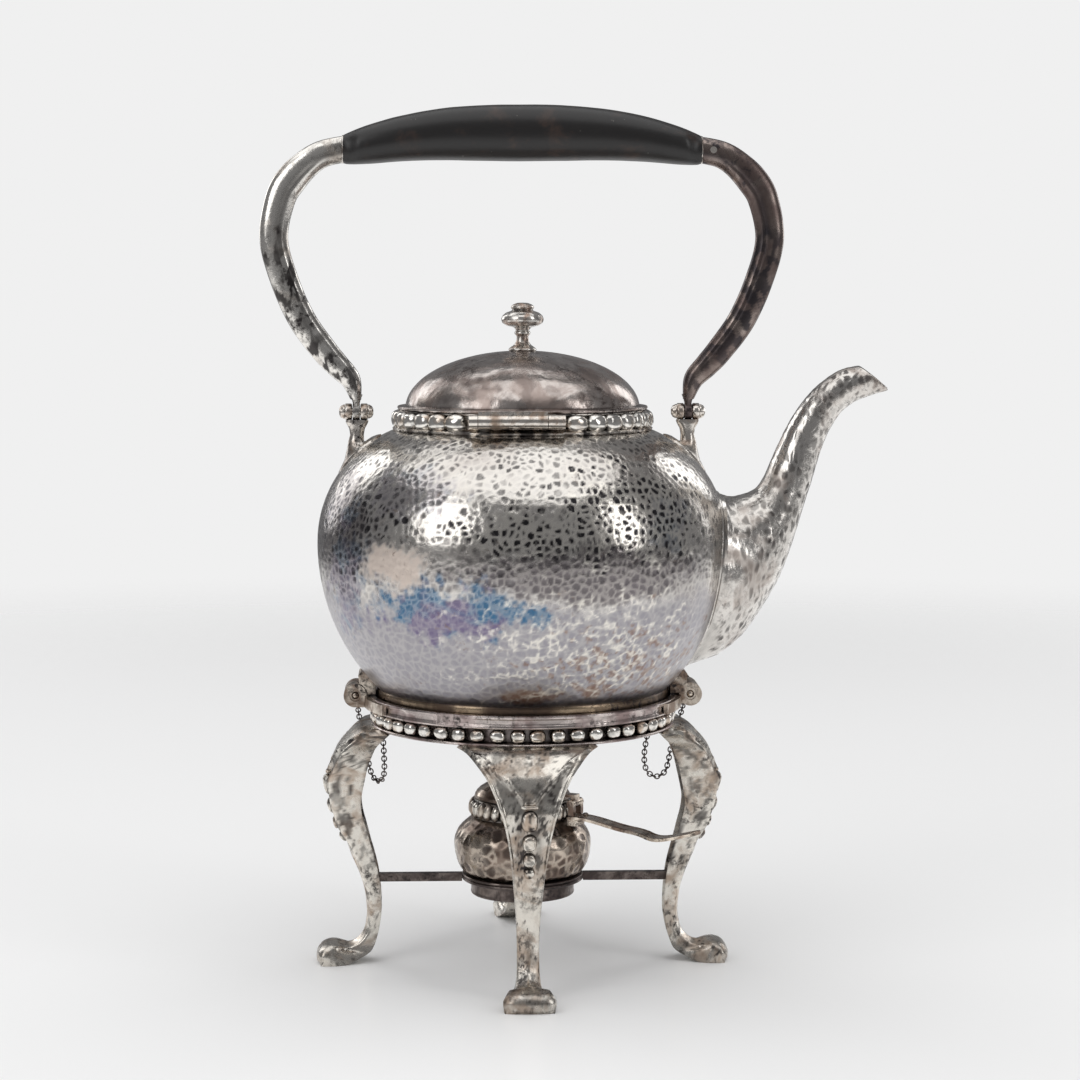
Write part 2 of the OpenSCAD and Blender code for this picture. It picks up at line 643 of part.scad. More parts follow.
module handle_arm_left() {
    color("silver") placed() mirror([1, 0, 0]) handle_arm();
}

module handle_arm_right() {
    color("dimgray") placed() handle_arm();
}

module grip() {
    line = spline([for (p = grip_line) [p[0] * grip_len / 2, p[1], p[2]]], 2);
    rings = [for (p = line)
        let (m = (p[1] + p[2]) / 2, half = (p[1] - p[2]) / 2)
        let (d = grip_depth / 2 * sqrt(max(0.3, 1 - 0.7 * pow(2 * p[0] / grip_len, 4))))
        [for (j = [0 : grip_sides - 1])
            let (a = 360 * j / grip_sides)
            [p[0], d * cos(a), m + half * sin(a)]]];
    tenon_end = grip_len / 2 + grip_tenon_len;
    color([0.08, 0.07, 0.07]) placed() difference() {
        union() {
            loft(rings);
            bar_x(0, grip_end_z, grip_tenon_r, -tenon_end, tenon_end);
        }
        for (side = [-1, 1])
            bar_y(side * grip_rivet_x, grip_end_z, grip_rivet_r + fixed_fit, -arm_depth, arm_depth);
    }
}

module grip_rivets() {
    color("silver") placed() for (side = [-1, 1])
        bar_y(side * grip_rivet_x, grip_end_z, grip_rivet_r, -arm_depth / 2 - 0.3, arm_depth / 2 + 0.3);
}

// Ring section: flange, recess for the beads, ledge for the kettle and smooth rim above it
module stand_ring() {
    bead_top_z = ledge_z - 1.4;
    pocket_r = foot_r + 0.9;
    color("rosybrown") placed() rotate_extrude() polygon([
        [ring_inner_r, ring_z], [ring_flange_r, ring_z],
        [ring_flange_r, ring_z + 1], [bead_wall_r, ring_z + 1],
        [bead_wall_r, bead_top_z], [rim_r - 0.3, bead_top_z], [rim_r, bead_top_z + 0.4], [rim_r, rim_z],
        [pocket_r, rim_z], [pocket_r, ledge_z], [ring_inner_r, ledge_z]]);
}

// A string of beads on a thin hoop that lies in the ring's recess
module ring_beads() {
    middle_z = (ring_z + 1 + ledge_z - 1.4) / 2;
    middle_r = bead_wall_r + ring_bead_r + 0.05;
    color("silver") placed() union() {
        for (i = [0 : ring_bead_count - 1]) rotate(360 * (i + 0.5) / ring_bead_count)
            translate([middle_r, 0, middle_z]) sphere(r = ring_bead_r, $fn = 24);
        rotate_extrude() translate([middle_r - 0.4, middle_z - 1.8]) square([0.8, 3.6]);
    }
}

// A leg is a channel that is open towards the middle: a curved web with two wings at the top
module leg() {
    outline = concat(leg_front, reversed([for (p = leg_front) [-p[0], p[1]]]));
    web = [for (p = leg_outer) if (p[1] > 12) [p[0] - leg_wall, p[1] - 0.4]];
    channel = concat(web, [
        [web[len(web) - 1][0] - 4, 11], [40, 11], [40, ring_z + 1], [web[0][0], ring_z + 1]]);
    side_wall = leg_wall * 0.9;
    inside = [for (p = leg_front) if (p[1] > 12) [max(p[0] - side_wall, 1), p[1]]];
    inside_outline = concat([[inside[0][0], ring_z + 1]], inside, reversed([for (p = inside) [-p[0], p[1]]]),
        [[-inside[0][0], ring_z + 1]]);
    difference() {
        union() {
            intersection() {
                rotate_extrude() polygon(concat(leg_outer, leg_inner));
                rotate([90, 0, 90]) linear_extrude(2 * toe_r) polygon(outline);
            }
            for (b = leg_beads) translate([leg_bead_x(b), 0, b[0]]) sphere(r = b[1]);
        }
        intersection() {
            rotate_extrude() polygon(channel);
            rotate([90, 0, 90]) linear_extrude(2 * toe_r) polygon(inside_outline);
        }
        translate([0, 0, ring_z]) cylinder(r = toe_r, h = 10);
    }
}

// Leg beads sit on the web's outer edge
function leg_bead_x(b) = lookup(-b[0], [for (p = leg_outer) if (p[1] > 16) [-p[1], p[0]]]) - b[1] * 0.55;

module leg_right() {
    color("lightgray") placed() leg();
}

module leg_back() {
    color("lightgray") placed() rotate(90) leg();
}

module leg_left() {
    color("lightgray") placed() rotate(180) leg();
}

module leg_front() {
    color("lightgray") placed() rotate(-90) leg();
}

// Four bars from the burner holder into the channels of the legs
module cross_bars() {
    end = lookup(-bar_z, [for (p = leg_outer) if (p[1] > 16) [-p[1], p[0]]]) - leg_wall - 0.9;
    color("dimgray") placed() difference() {
        for (turn = [0 : 90 : 270]) rotate(turn)
            translate([holder_r, -bar_w / 2, bar_z]) cube([end - holder_r, bar_w, bar_h]);
        cylinder(r = holder_r + 5.4, h = 2 * bar_z);
    }
}

module burner_holder() {
    flange_r = holder_r + 5.4;
    color("dimgray") placed() rotate_extrude() polygon([
        [holder_r, 27.7], [holder_r + 1.6, 27.7], [holder_r + 1.6, 33], [flange_r, 33],
        [flange_r, 35.8], [holder_r, 35.8]]);
}

// Strap on the rim that carries a lug, drawn on the spout's side
module lug_strap() {
    rotate(-lug_strap_angle) rotate_extrude(angle = 2 * lug_strap_angle)
        translate([rim_r + eps, rim_z - 4.5]) square([1.8, 4.1]);
}

// A stand knuckle with a tail that runs to the rim
module stand_knuckle(from, to) {
    difference() {
        union() {
            bar_y(pin_x, pin_z, lug_r, from, to);
            translate([rim_r - 2, from, pin_z - lug_r]) cube([pin_x - rim_r + 2, to - from, lug_r]);
        }
        translate([0, 0, rim_z - 20]) cylinder(r = rim_r, h = 20);
        translate([0, from - 1, rim_z]) cube([rim_r - 1, to - from + 2, 20]);
        bar_y(pin_x, pin_z, pin_r + running_fit, from - 1, to + 1);
        bar_y(pin_x, pin_z, pin_r + 0.9, -lug_half_w - 1, -lug_half_w + 0.8);
    }
}

// Right lug of the stand: one middle knuckle, and a strap cut free of the kettle's knuckles
module stand_lug_right() {
    inner = lug_middle_half_w;
    color("rosybrown") placed() union() {
        difference() {
            lug_strap();
            bar_y(pin_x, pin_z, lug_r + moving_gap, -lug_half_w - seat_gap, -inner);
            bar_y(pin_x, pin_z, lug_r + moving_gap, inner, lug_half_w + seat_gap);
            bar_y(pin_x, pin_z, pin_r + running_fit, -lug_half_w, lug_half_w);
        }
        stand_knuckle(-inner, inner);
    }
}

// Left lug of the stand: front and rear knuckles, with room between them for the kettle's hook
module stand_lug_left() {
    outer = lug_middle_half_w + seat_gap;
    color("rosybrown") placed() mirror([1, 0, 0]) union() {
        difference() {
            lug_strap();
            bar_y(pin_x, pin_z, lug_r + moving_gap, -outer, outer);
            bar_y(pin_x, pin_z, pin_r + running_fit, -lug_half_w, lug_half_w);
            bar_y(pin_x, pin_z, pin_r + 0.9, -lug_half_w - 1, -lug_half_w + 0.8);
        }
        stand_knuckle(-lug_half_w, -outer);
        stand_knuckle(outer, lug_half_w);
    }
}

// A loose pin: round tip in front, flat head behind with a loop for the chain
module loose_pin() {
    tip_y = -lug_half_w + pin_r + 0.2;
    bar_y(0, 0, pin_r, tip_y, pin_head_y + 0.5);
    translate([0, tip_y, 0]) sphere(r = pin_r);
    bar_y(0, 0, 2.6, pin_head_y, pin_head_y + pin_head_h);
    translate([0, pin_head_y + pin_head_h + 1.1, -1]) rotate([0, 90, 0])
        rotate_extrude() translate([1.5, 0]) circle(r = 0.4, $fn = 24);
}

module pin_left() {
    color("peru") placed() translate([-pin_x, 0, pin_z]) loose_pin();
}

// The right pin also has a flat pointed thumb piece
module pin_right() {
    color("peru") placed() translate([pin_x, 0, pin_z]) union() {
        loose_pin();
        translate([0, pin_head_y + pin_head_h, 0]) rotate([90, 0, 0]) linear_extrude(pin_head_h)
            polygon([[-1.6, 0], [1.6, 0], [2.1, 3.4], [0, 6.2], [-2.1, 3.4]]);
    }
}

// Points spaced evenly along a route
function route_lengths(p, i = 1, sum = [0]) =
    i >= len(p) ? sum : route_lengths(p, i + 1, concat(sum, [sum[i - 1] + norm(p[i] - p[i - 1])]));
function route_place(p, lengths, s) =
    let (k = max([for (i = [0 : len(p) - 2]) if (lengths[i] <= s) i]))
    let (way = p[k + 1] - p[k])
    [p[k] + way * (s - lengths[k]) / norm(way), way / norm(way)];

// Ring shaped links along a route, each turned a quarter against the one before
module chain(route) {
    path = spline(route, 6);
    lengths = route_lengths(path);
    for (i = [0 : floor(lengths[len(path) - 1] / link_pitch)]) {
        place = route_place(path, lengths, i * link_pitch);
        t = place[1];
        c = cross(t, [0, 1, 0]);
        u = c / norm(c);
        n = i % 2 == 1 ? u : cross(t, u);
        b = cross(n, t);
        multmatrix([
            [t[0], b[0], n[0], place[0][0]],
            [t[1], b[1], n[1], place[0][1]],
            [t[2], b[2], n[2], place[0][2]],
            [0, 0, 0, 1]])
            rotate_extrude() translate([link_r, 0]) circle(r = link_wire_r, $fn = 16);
    }
}

module chain_left() {
    color("dimgray") placed() chain(chain_left_route);
}

module chain_right() {
    color("dimgray") placed() chain(chain_right_route);
}

// A staple under the ring for the first link of each chain
module chain_staples() {
    wire_r = 0.4;
    bend_r = 1.5;
    color("dimgray") placed() for (route = [chain_left_route, chain_right_route])
        translate([route[0][0], route[0][1], ring_z]) rotate(atan2(route[0][1], route[0][0])) difference() {
            translate([0, 0, -1.4]) rotate([90, 0, 90])
                rotate_extrude() translate([bend_r, 0]) circle(r = wire_r, $fn = 24);
            translate([-5, -5, 0]) cube(10);
        }
}

// Hollow font: flat below, round edge, domed shoulder and a flat top with the wick hole
function font_skin(grow) =
    let (edge_r = font_r - 6, low = font_z - font_bottom_z, high = font_top_z - font_z)
    let (top_a = acos(font_top_r / font_r))
    concat(
        [for (i = [0 : 8])
            let (a = -90 + 90 * i / 8)
            [edge_r + (6 + grow) * cos(a), font_z + (low + grow) * sin(a)]],
        [for (i = [1 : 8])
            let (a = top_a * i / 8)
            [(font_r + grow) * cos(a), font_z + (high + grow) * sin(a) / sin(top_a)]]);

module burner_font() {
    hole_r = wick_tube_r + fixed_fit;
    outside = concat([[0, font_bottom_z]], font_skin(0), [[hole_r, font_top_z]]);
    inside = concat([[hole_r, font_top_z - font_wall]], reversed(font_skin(-font_wall)),
        [[0, font_bottom_z + font_wall]]);
    color("saddlebrown") placed() rotate_extrude() polygon(concat(outside, inside));
}

module burner_foot() {
    foot_outer_r = holder_r - seat_gap;
    color("saddlebrown") placed() translate([0, 0, 28]) difference() {
        cylinder(r = foot_outer_r, h = font_bottom_z - 28);
        translate([0, 0, -1]) cylinder(r = foot_outer_r - 1.4, h = font_bottom_z - 26);
    }
}

// Upright oval beads on a thin ring
module burner_beads() {
    half_w = 2.3;
    half_h = font_bead_h / 2;
    bead = concat(
        [[0, -half_h]],
        [for (i = [1 : 7]) let (a = -90 + 22.5 * i) [half_w * cos(a), half_h * sin(a)]],
        [[0, half_h]]);
    color("peru") placed() difference() {
        union() {
            for (i = [0 : font_bead_count - 1]) rotate(360 * i / font_bead_count)
                translate([font_neck_r + 0.6, 0, font_bead_z]) rotate_extrude() polygon(bead);
            translate([0, 0, font_top_z]) cylinder(r = font_neck_r + 0.7, h = font_bead_h - 0.6);
        }
        translate([0, 0, font_top_z - 1]) cylinder(r = font_neck_r - 0.9, h = font_bead_h + 2);
    }
}

module wick_tube() {
    color("peru") placed() translate([0, 0, font_top_z - 6]) difference() {
        cylinder(r = wick_tube_r, h = 15.4);
        translate([0, 0, -1]) cylinder(r = wick_tube_r - 0.7, h = 18);
    }
}

module wick() {
    wick_r = wick_tube_r - 0.9;
    color("beige") placed() translate([0, 0, font_bottom_z + font_wall + 0.5])
        cylinder(r = wick_r, h = font_top_z + 10.8 - font_bottom_z - font_wall);
}

// Draws something along the strap handle: X runs outwards, Z up
module along_strap() {
    rotate(-strap_angle) children();
}

module burner_strap() {
    root_r = 22.7;
    thickness = 1.5;
    top = [[root_r, strap_root_z], [34, 61.2], [45, 58.9], [54.5, 58.2], [60, 56], [strap_reach, 60.6]];
    low = [for (i = [len(top) - 1 : -1 : 1]) [top[i][0], top[i][1] - thickness]];
    foot_gap = 0.3;
    foot = [[root_r + 3.4, 59.8], [root_r + 3.4, font_shoulder_z(root_r + 3.4) + foot_gap],
        [root_r, font_shoulder_z(root_r) + foot_gap]];
    color("burlywood") placed() along_strap() difference() {
        translate([0, strap_w / 2, 0]) rotate([90, 0, 0])
            linear_extrude(strap_w) polygon(concat(top, low, foot));
        cylinder(r = font_neck_r + 3.2, h = 100);
        for (side = [-1, 1]) translate([root_r + 5, side * 2.4, 50]) cylinder(r = 0.82, h = 20);
    }
}

module strap_rivets() {
    color("burlywood") placed() along_strap() for (side = [-1, 1])
        translate([27.7, side * 2.4, 0]) {
            translate([0, 0, 59.6]) cylinder(r = 0.8, h = 1.8);
            translate([0, 0, 61.38]) cylinder(r1 = 1.3, r2 = 0.8, h = 0.6);
            translate([0, 0, 59.2]) cylinder(r = 1.2, h = 0.5);
        }
}

// Two ears on the strap that carry the snuffer's pin
module snuffer_ears() {
    inner = snuffer_knuckle_len / 2 + 0.25;
    ear_z = strap_root_z + 0.02;
    color("peru") placed() along_strap() difference() {
        for (side = [-1, 1]) mirror([0, side < 0 ? 1 : 0, 0]) {
            bar_y(snuffer_hinge_r, snuffer_hinge_z, snuffer_knuckle_r, inner, inner + snuffer_ear_len);
            translate([snuffer_hinge_r - 1, inner, ear_z])
                cube([2.4, snuffer_ear_len, snuffer_hinge_z - ear_z]);
        }
        bar_y(snuffer_hinge_r, snuffer_hinge_z, snuffer_pin_r + fixed_fit, -10, 10);
    }
}

module snuffer_pin() {
    end = snuffer_knuckle_len / 2 + 0.25 + snuffer_ear_len + 0.3;
    color("peru") placed() along_strap() bar_y(snuffer_hinge_r, snuffer_hinge_z, snuffer_pin_r, -end, end);
}

module snuffer_cap() {
    color("saddlebrown") placed() rotate_extrude() polygon(concat(
        dome_points(snuffer_r, snuffer_h, snuffer_z, 10),
        reversed(dome_points(snuffer_r - 0.8, snuffer_h - 0.8, snuffer_z, 10))));
}

// The lever joins the cap to its knuckle and ends in a thumb tab
module snuffer_lever() {
    half = snuffer_knuckle_len / 2;
    plate_z = snuffer_z + 1.6;
    color("peru") placed() along_strap() difference() {
        union() {
            bar_y(snuffer_hinge_r, snuffer_hinge_z, snuffer_knuckle_r, -half, half);
            translate([snuffer_hinge_r - 8, -half, plate_z]) cube([9, 2 * half, 1.2]);
            translate([snuffer_hinge_r - 1, -half, snuffer_hinge_z])
                cube([2, 2 * half, plate_z - snuffer_hinge_z + 1.2]);
        }
        bar_y(snuffer_hinge_r, snuffer_hinge_z, snuffer_pin_r + running_fit, -half - 1, half + 1);
        rotate_extrude() polygon(concat(
            dome_points(snuffer_r, snuffer_h, snuffer_z, 10),
            [[0, snuffer_z - 5], [snuffer_r, snuffer_z - 5]]));
    }
}

module snuffer_knob() {
    base_z = snuffer_z + snuffer_h;
    color("peru") placed() rotate_extrude() polygon([
        [0, base_z], [1.6, base_z], [1.3, base_z + 1.2], [2.6, base_z + 2.2], [2.6, base_z + 3.2],
        [1.6, base_z + 4], [0, base_z + 4.2]]);
}

stand_ring();
ring_beads();
leg_front();
leg_back();
leg_left();
leg_right();
cross_bars();
burner_holder();
stand_lug_left();
stand_lug_right();
chain_staples();
chain_left();
chain_right();
pin_left();
pin_right();
kettle_body();
kettle_foot();
neck_collar();
collar_beads();
spout();
kettle_lug_left();
kettle_lug_right();
handle_socket_left();
handle_socket_right();
handle_pivots();
collar_knuckles();
lid_hinge_pin();
lid_dome();
lid_bezel();
lid_hinge_leaf();
finial();
finial_nut();
handle_arm_left();
handle_arm_right();
grip();
grip_rivets();
burner_font();
burner_foot();
burner_beads();
wick_tube();
wick();
burner_strap();
strap_rivets();
snuffer_ears();
snuffer_pin();
snuffer_cap();
snuffer_lever();
snuffer_knob();
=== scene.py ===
"""A spirit kettle on its stand: hammered and polished silver with tarnish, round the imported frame."""
import math

import bpy
import numpy as np
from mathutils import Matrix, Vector


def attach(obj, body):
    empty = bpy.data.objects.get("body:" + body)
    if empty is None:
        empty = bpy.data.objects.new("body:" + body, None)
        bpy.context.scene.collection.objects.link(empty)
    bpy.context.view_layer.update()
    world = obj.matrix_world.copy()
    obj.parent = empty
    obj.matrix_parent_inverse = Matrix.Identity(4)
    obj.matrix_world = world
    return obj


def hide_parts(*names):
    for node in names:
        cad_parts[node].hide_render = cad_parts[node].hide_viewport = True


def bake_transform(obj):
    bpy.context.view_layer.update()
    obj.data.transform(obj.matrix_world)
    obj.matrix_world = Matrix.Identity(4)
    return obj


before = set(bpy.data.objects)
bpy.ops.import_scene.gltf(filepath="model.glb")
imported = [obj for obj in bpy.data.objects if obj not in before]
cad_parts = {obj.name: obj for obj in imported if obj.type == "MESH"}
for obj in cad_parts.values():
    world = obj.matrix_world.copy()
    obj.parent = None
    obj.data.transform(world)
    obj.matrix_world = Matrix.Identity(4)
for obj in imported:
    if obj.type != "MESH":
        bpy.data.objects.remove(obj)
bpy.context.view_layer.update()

# Millimetres round the kettle's axis become metres in the row's frame
MM = 0.001
AXIS_X = -21.45


def metres(points):
    """Points in millimetres round the kettle's axis, in metres in the frame."""
    points = np.asarray(points, float)
    return (points + np.array([AXIS_X, 0.0, 0.0])) * MM


# Camera, from how the ring, the collar and the feet lie in the photograph
FOCAL_PX = 2606.0
IMAGE_PX = 1080.0
CAMERA_DISTANCE = 1068.0
CAMERA_HEIGHT = 272.0
CAMERA_AZIMUTH = math.radians(-2.0)
AXIS_OFFSET_PX = 17.5
HORIZON_PX = 295.0


def make_camera():
    data = bpy.data.cameras.new("camera")
    data.sensor_width = 36.0
    data.lens = FOCAL_PX / IMAGE_PX * data.sensor_width
    data.clip_start = 0.05
    camera = bpy.data.objects.new("camera", data)
    bpy.context.scene.collection.objects.link(camera)
    place = (
        math.sin(CAMERA_AZIMUTH) * CAMERA_DISTANCE,
        -math.cos(CAMERA_AZIMUTH) * CAMERA_DISTANCE,
        CAMERA_HEIGHT,
    )
    camera.location = Vector(metres(place))
    # The photograph's uprights are parallel, so the camera is level and the picture is shifted
    data.shift_x = AXIS_OFFSET_PX / IMAGE_PX
    data.shift_y = (HORIZON_PX - IMAGE_PX / 2) / IMAGE_PX
    aim = Vector((-math.sin(CAMERA_AZIMUTH), math.cos(CAMERA_AZIMUTH), 0.0))
    camera.rotation_euler = aim.to_track_quat("-Z", "Y").to_euler()
    bpy.context.scene.camera = camera


# Small mesh helpers. Shapes are in millimetres round the kettle's axis

def spline(points, steps):
    """A smooth curve through the points, each a row of numbers."""
    p = np.asarray(points, float)
    n = len(p)
    rows = []
    for i in range(n - 1):
        a, b, c, d = p[max(i - 1, 0)], p[i], p[i + 1], p[min(i + 2, n - 1)]
        for k in range(steps):
            t = k / steps
            rows.append(0.5 * (2 * b + (c - a) * t + (2 * a - 5 * b + 4 * c - d) * t ** 2
                               + (3 * b - a - 3 * c + d) * t ** 3))
    rows.append(p[-1])
    return np.array(rows)


def resample(points, spacing):
    """The same line with points evenly spaced along it."""
    p = np.asarray(points, float)
    lengths = np.concatenate([[0], np.cumsum(np.linalg.norm(np.diff(p[:, :3], axis=0), axis=1))])
    count = max(2, int(round(lengths[-1] / spacing)) + 1)
    at = np.linspace(0, lengths[-1], count)
    return np.stack([np.interp(at, lengths, p[:, k]) for k in range(p.shape[1])], axis=1)


def soften(points, passes=2, cut=0.25):
    """Corners cut again and again until they are round, with both ends kept."""
    p = np.asarray(points, float)
    for _ in range(passes):
        a, b = p[:-1], p[1:]
        q = np.stack([a * (1 - cut) + b * cut, a * cut + b * (1 - cut)], axis=1).reshape(-1, p.shape[1])
        p = np.concatenate([p[:1], q, p[-1:]])
    return p


def fillet(points, radius=0.3):
    """Small round edges at the corners of a lathe profile."""
    p = np.asarray(points, float)
    rows = [p[0]]
    for a, b, c in zip(p[:-2], p[1:-1], p[2:]):
        la, lc = np.linalg.norm(a - b), np.linalg.norm(c - b)
        ra, rc = min(radius, la * 0.45), min(radius, lc * 0.45)
        s, e = b + (a - b) / la * ra, b + (c - b) / lc * rc
        for t in (0, 0.25, 0.5, 0.75, 1):
            rows.append((1 - t) ** 2 * s + 2 * t * (1 - t) * b + t ** 2 * e)
    rows.append(p[-1])
    return np.array(rows)


def grid_faces(rows, columns, wrap=True, close=False):
    """Faces of a grid of rows by columns, joined round when wrap, and last row to first when close."""
    last = rows if close else rows - 1
    r = np.arange(last)[:, None]
    c = np.arange(columns if wrap else columns - 1)[None, :]
    a = r * columns + c
    b = r * columns + (c + 1) % columns
    d = ((r + 1) % rows) * columns + c
    e = ((r + 1) % rows) * columns + (c + 1) % columns
    return np.stack([a, b, e, d], axis=-1).reshape(-1, 4).tolist()


def new_object(name, verts, faces, material, replaces=(), masks=None, sharp=None):
    """A smooth mesh from points in millimetres, with its vertex masks, its material and its CAD nodes."""
    mesh = bpy.data.meshes.new(name)
    mesh.from_pydata(metres(verts).tolist(), [], [tuple(f) for f in faces])
    mesh.validate()
    mesh.update()
    for poly in mesh.polygons:
        poly.use_smooth = True
    obj = bpy.data.objects.new(name, mesh)
    bpy.context.scene.collection.objects.link(obj)
    for key, values in (masks or {}).items():
        layer = mesh.attributes.new(key, "FLOAT", "POINT")
        layer.data.foreach_set("value", np.asarray(values, np.float32))
    if sharp:
        mesh.set_sharp_from_angle(angle=math.radians(sharp))
    mesh.materials.append(material)
    if replaces:
        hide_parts(*replaces)
    return obj


def piece(name, verts, faces, body, material, replaces=(), masks=None, sharp=None):
    """A new mesh piece that rides on its body."""
    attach(new_object(name, verts, faces, material, replaces, masks, sharp), body)


def circle(steps):
    """Angles evenly round a circle."""
    return np.arange(steps) * 2 * math.pi / steps


def bent(x, power):
    """x to a power with its sign kept, which squares or sharpens a round outline."""
    return np.sign(x) * np.abs(x) ** power


def flipped(faces):
    return [list(reversed(f)) for f in faces]


def mirrored(verts, faces):
    """The same shape on the other side of the axis."""
    return verts * np.array([-1, 1, 1]), flipped(faces)


def turned(verts, angle):
    """The points turned round the kettle's axis."""
    c, s = math.cos(angle), math.sin(angle)
    x, y, z = verts.T
    return np.stack([x * c - y * s, x * s + y * c, z], axis=1)


def spoke(angle):
    """The outward and the sideways direction at an angle round the axis."""
    return np.array([math.cos(angle), math.sin(angle), 0]), np.array([-math.sin(angle), math.cos(angle), 0])


def lathe(profile, steps):
    """Points and faces of a profile of (r, z) turned round the axis."""
    p = np.asarray(profile, float)
    angles = circle(steps)
    r, z = p[:, 0][:, None], p[:, 1][:, None]
    verts = np.stack([r * np.cos(angles), r * np.sin(angles), z + 0 * angles], axis=-1).reshape(-1, 3)
    return verts, grid_faces(len(p), steps)


def end_caps(rows, columns, across, back):
    """Faces that close both ends of a strip, with across points in front and back the last one behind."""
    faces = []
    for first, flip in ((0, False), ((rows - 1) * columns, True)):
        for c in range(across - 1):
            quad = [first + c, first + c + 1, first + back - c - 1, first + back - c]
            faces.append(quad if flip else quad[::-1])
    return faces


def vertex_normals(verts, faces):
    f = np.asarray(faces)
    n = np.cross(verts[f[:, 2]] - verts[f[:, 0]], verts[f[:, 3]] - verts[f[:, 1]])
    total = np.zeros_like(verts)
    for k in range(4):
        np.add.at(total, f[:, k], n)
    return total / np.maximum(np.linalg.norm(total, axis=1, keepdims=True), 1e-9)


def cells(points, spacing, seed):
    """Distances to the nearest two of scattered points, in spacings, and a number for each cell."""
    q = points / spacing
    low = np.floor(q.min(axis=0)).astype(int) - 2
    size = np.ceil(q.max(axis=0)).astype(int) + 3 - low
    rng = np.random.default_rng(seed)
    jitter = rng.random((*size, 3)) * 0.8 + 0.1
    shade = rng.random(size)
    base = np.floor(q).astype(int) - low
    first = np.full(len(q), 9.0)
    second = np.full(len(q), 9.0)
    number = np.zeros(len(q))
    for dx in (-1, 0, 1):
        for dy in (-1, 0, 1):
            for dz in (-1, 0, 1):
                i = base + np.array([dx, dy, dz])
                centre = i + low + jitter[i[:, 0], i[:, 1], i[:, 2]]
                d = np.linalg.norm(q - centre, axis=1)
                closer = d < first
                second = np.where(closer, first, np.minimum(second, d))
                number = np.where(closer, shade[i[:, 0], i[:, 1], i[:, 2]], number)
                first = np.where(closer, d, first)
    return first, second, number


def blobs(points, spacing, seed):
    """Soft random patches between 0 and 1."""
    total = np.zeros(len(points))
    weight = 0.0
    rng = np.random.default_rng(seed)
    for octave in range(4):
        s = spacing / 2 ** octave
        k = rng.normal(size=(9, 3))
        k /= np.linalg.norm(k, axis=1, keepdims=True)
        phase = rng.random(9) * 2 * math.pi
        wave = np.sin(points @ k.T * (2 * math.pi / s) + phase).sum(axis=1) / 3
        total += wave / 2 ** octave
        weight += 1 / 2 ** octave
    return np.clip(0.5 + 0.5 * total / weight, 0, 1)


def smooth(x, low, high):
    t = np.clip((x - low) / (high - low), 0, 1)
    return t * t * (3 - 2 * t)


# Materials

def link(tree, source, socket):
    """Links a (node, output) to a socket."""
    tree.links.new(source[0].outputs[source[1]], socket)


def put(tree, value, socket):
    """Links a (node, output) to a socket, or sets a number or a colour on it."""
    if isinstance(value, tuple) and hasattr(value[0], "outputs"):
        link(tree, value, socket)
    else:
        socket.default_value = (*value, 1.0) if isinstance(value, tuple) else value


def mix(tree, factor, a, b):
    """Colour b over colour a, where each may be a colour or a (node, output)."""
    node = tree.nodes.new("ShaderNodeMix")
    node.data_type = "RGBA"
    for socket, value in ((node.inputs["Factor"], factor), (node.inputs[6], a), (node.inputs[7], b)):
        put(tree, value, socket)
    return node, 2


def scalar(tree, operation, a, b=0.0, c=0.0, clamp=False):
    node = tree.nodes.new("ShaderNodeMath")
    node.operation = operation
    node.use_clamp = clamp
    for socket, value in zip(node.inputs, (a, b, c)):
        put(tree, value, socket)
    return node, 0


def times(tree, a, b, clamp=False):
    return scalar(tree, "MULTIPLY", a, b, clamp=clamp)


def ramp(tree, value, low, high):
    """0 below low, 1 above high, smooth between."""
    node = tree.nodes.new("ShaderNodeMapRange")
    node.interpolation_type = "SMOOTHSTEP"
    node.inputs["From Min"].default_value = low
    node.inputs["From Max"].default_value = high
    link(tree, value, node.inputs["Value"])
    return node, 0


def place(tree):
    return tree.nodes.new("ShaderNodeTexCoord"), "Object"


def noise(tree, size, detail=4.0, rough=0.55, distortion=0.0, offset=0.0):
    """Noise whose patches are about size metres across."""
    where = place(tree)
    if offset:
        shift = tree.nodes.new("ShaderNodeVectorMath")
        shift.operation = "ADD"
        link(tree, where, shift.inputs[0])
        shift.inputs[1].default_value = (offset, offset * 0.7, -offset)
        where = (shift, 0)
    node = tree.nodes.new("ShaderNodeTexNoise")
    node.inputs["Scale"].default_value = 1.0 / size
    node.inputs["Detail"].default_value = detail
    node.inputs["Roughness"].default_value = rough
    node.inputs["Distortion"].default_value = distortion
    link(tree, where, node.inputs["Vector"])
    return node, 0


def mask(tree, name):
    node = tree.nodes.new("ShaderNodeAttribute")
    node.attribute_name = name
    return node, "Fac"


def new_material(name):
    material = bpy.data.materials.new(name)
    material.use_nodes = True
    return material, material.node_tree, material.node_tree.nodes["Principled BSDF"]


def roughen(tree, shader, height, strength, distance):
    """A bump from a (node, output)."""
    node = tree.nodes.new("ShaderNodeBump")
    node.inputs["Strength"].default_value = strength
    node.inputs["Distance"].default_value = distance
    link(tree, height, node.inputs["Height"])
    link(tree, (node, 0), shader.inputs["Normal"])


BRIGHT = (0.86, 0.83, 0.78)
WARM = (0.62, 0.50, 0.40)
BROWN = (0.20, 0.135, 0.10)
DARK = (0.045, 0.04, 0.04)


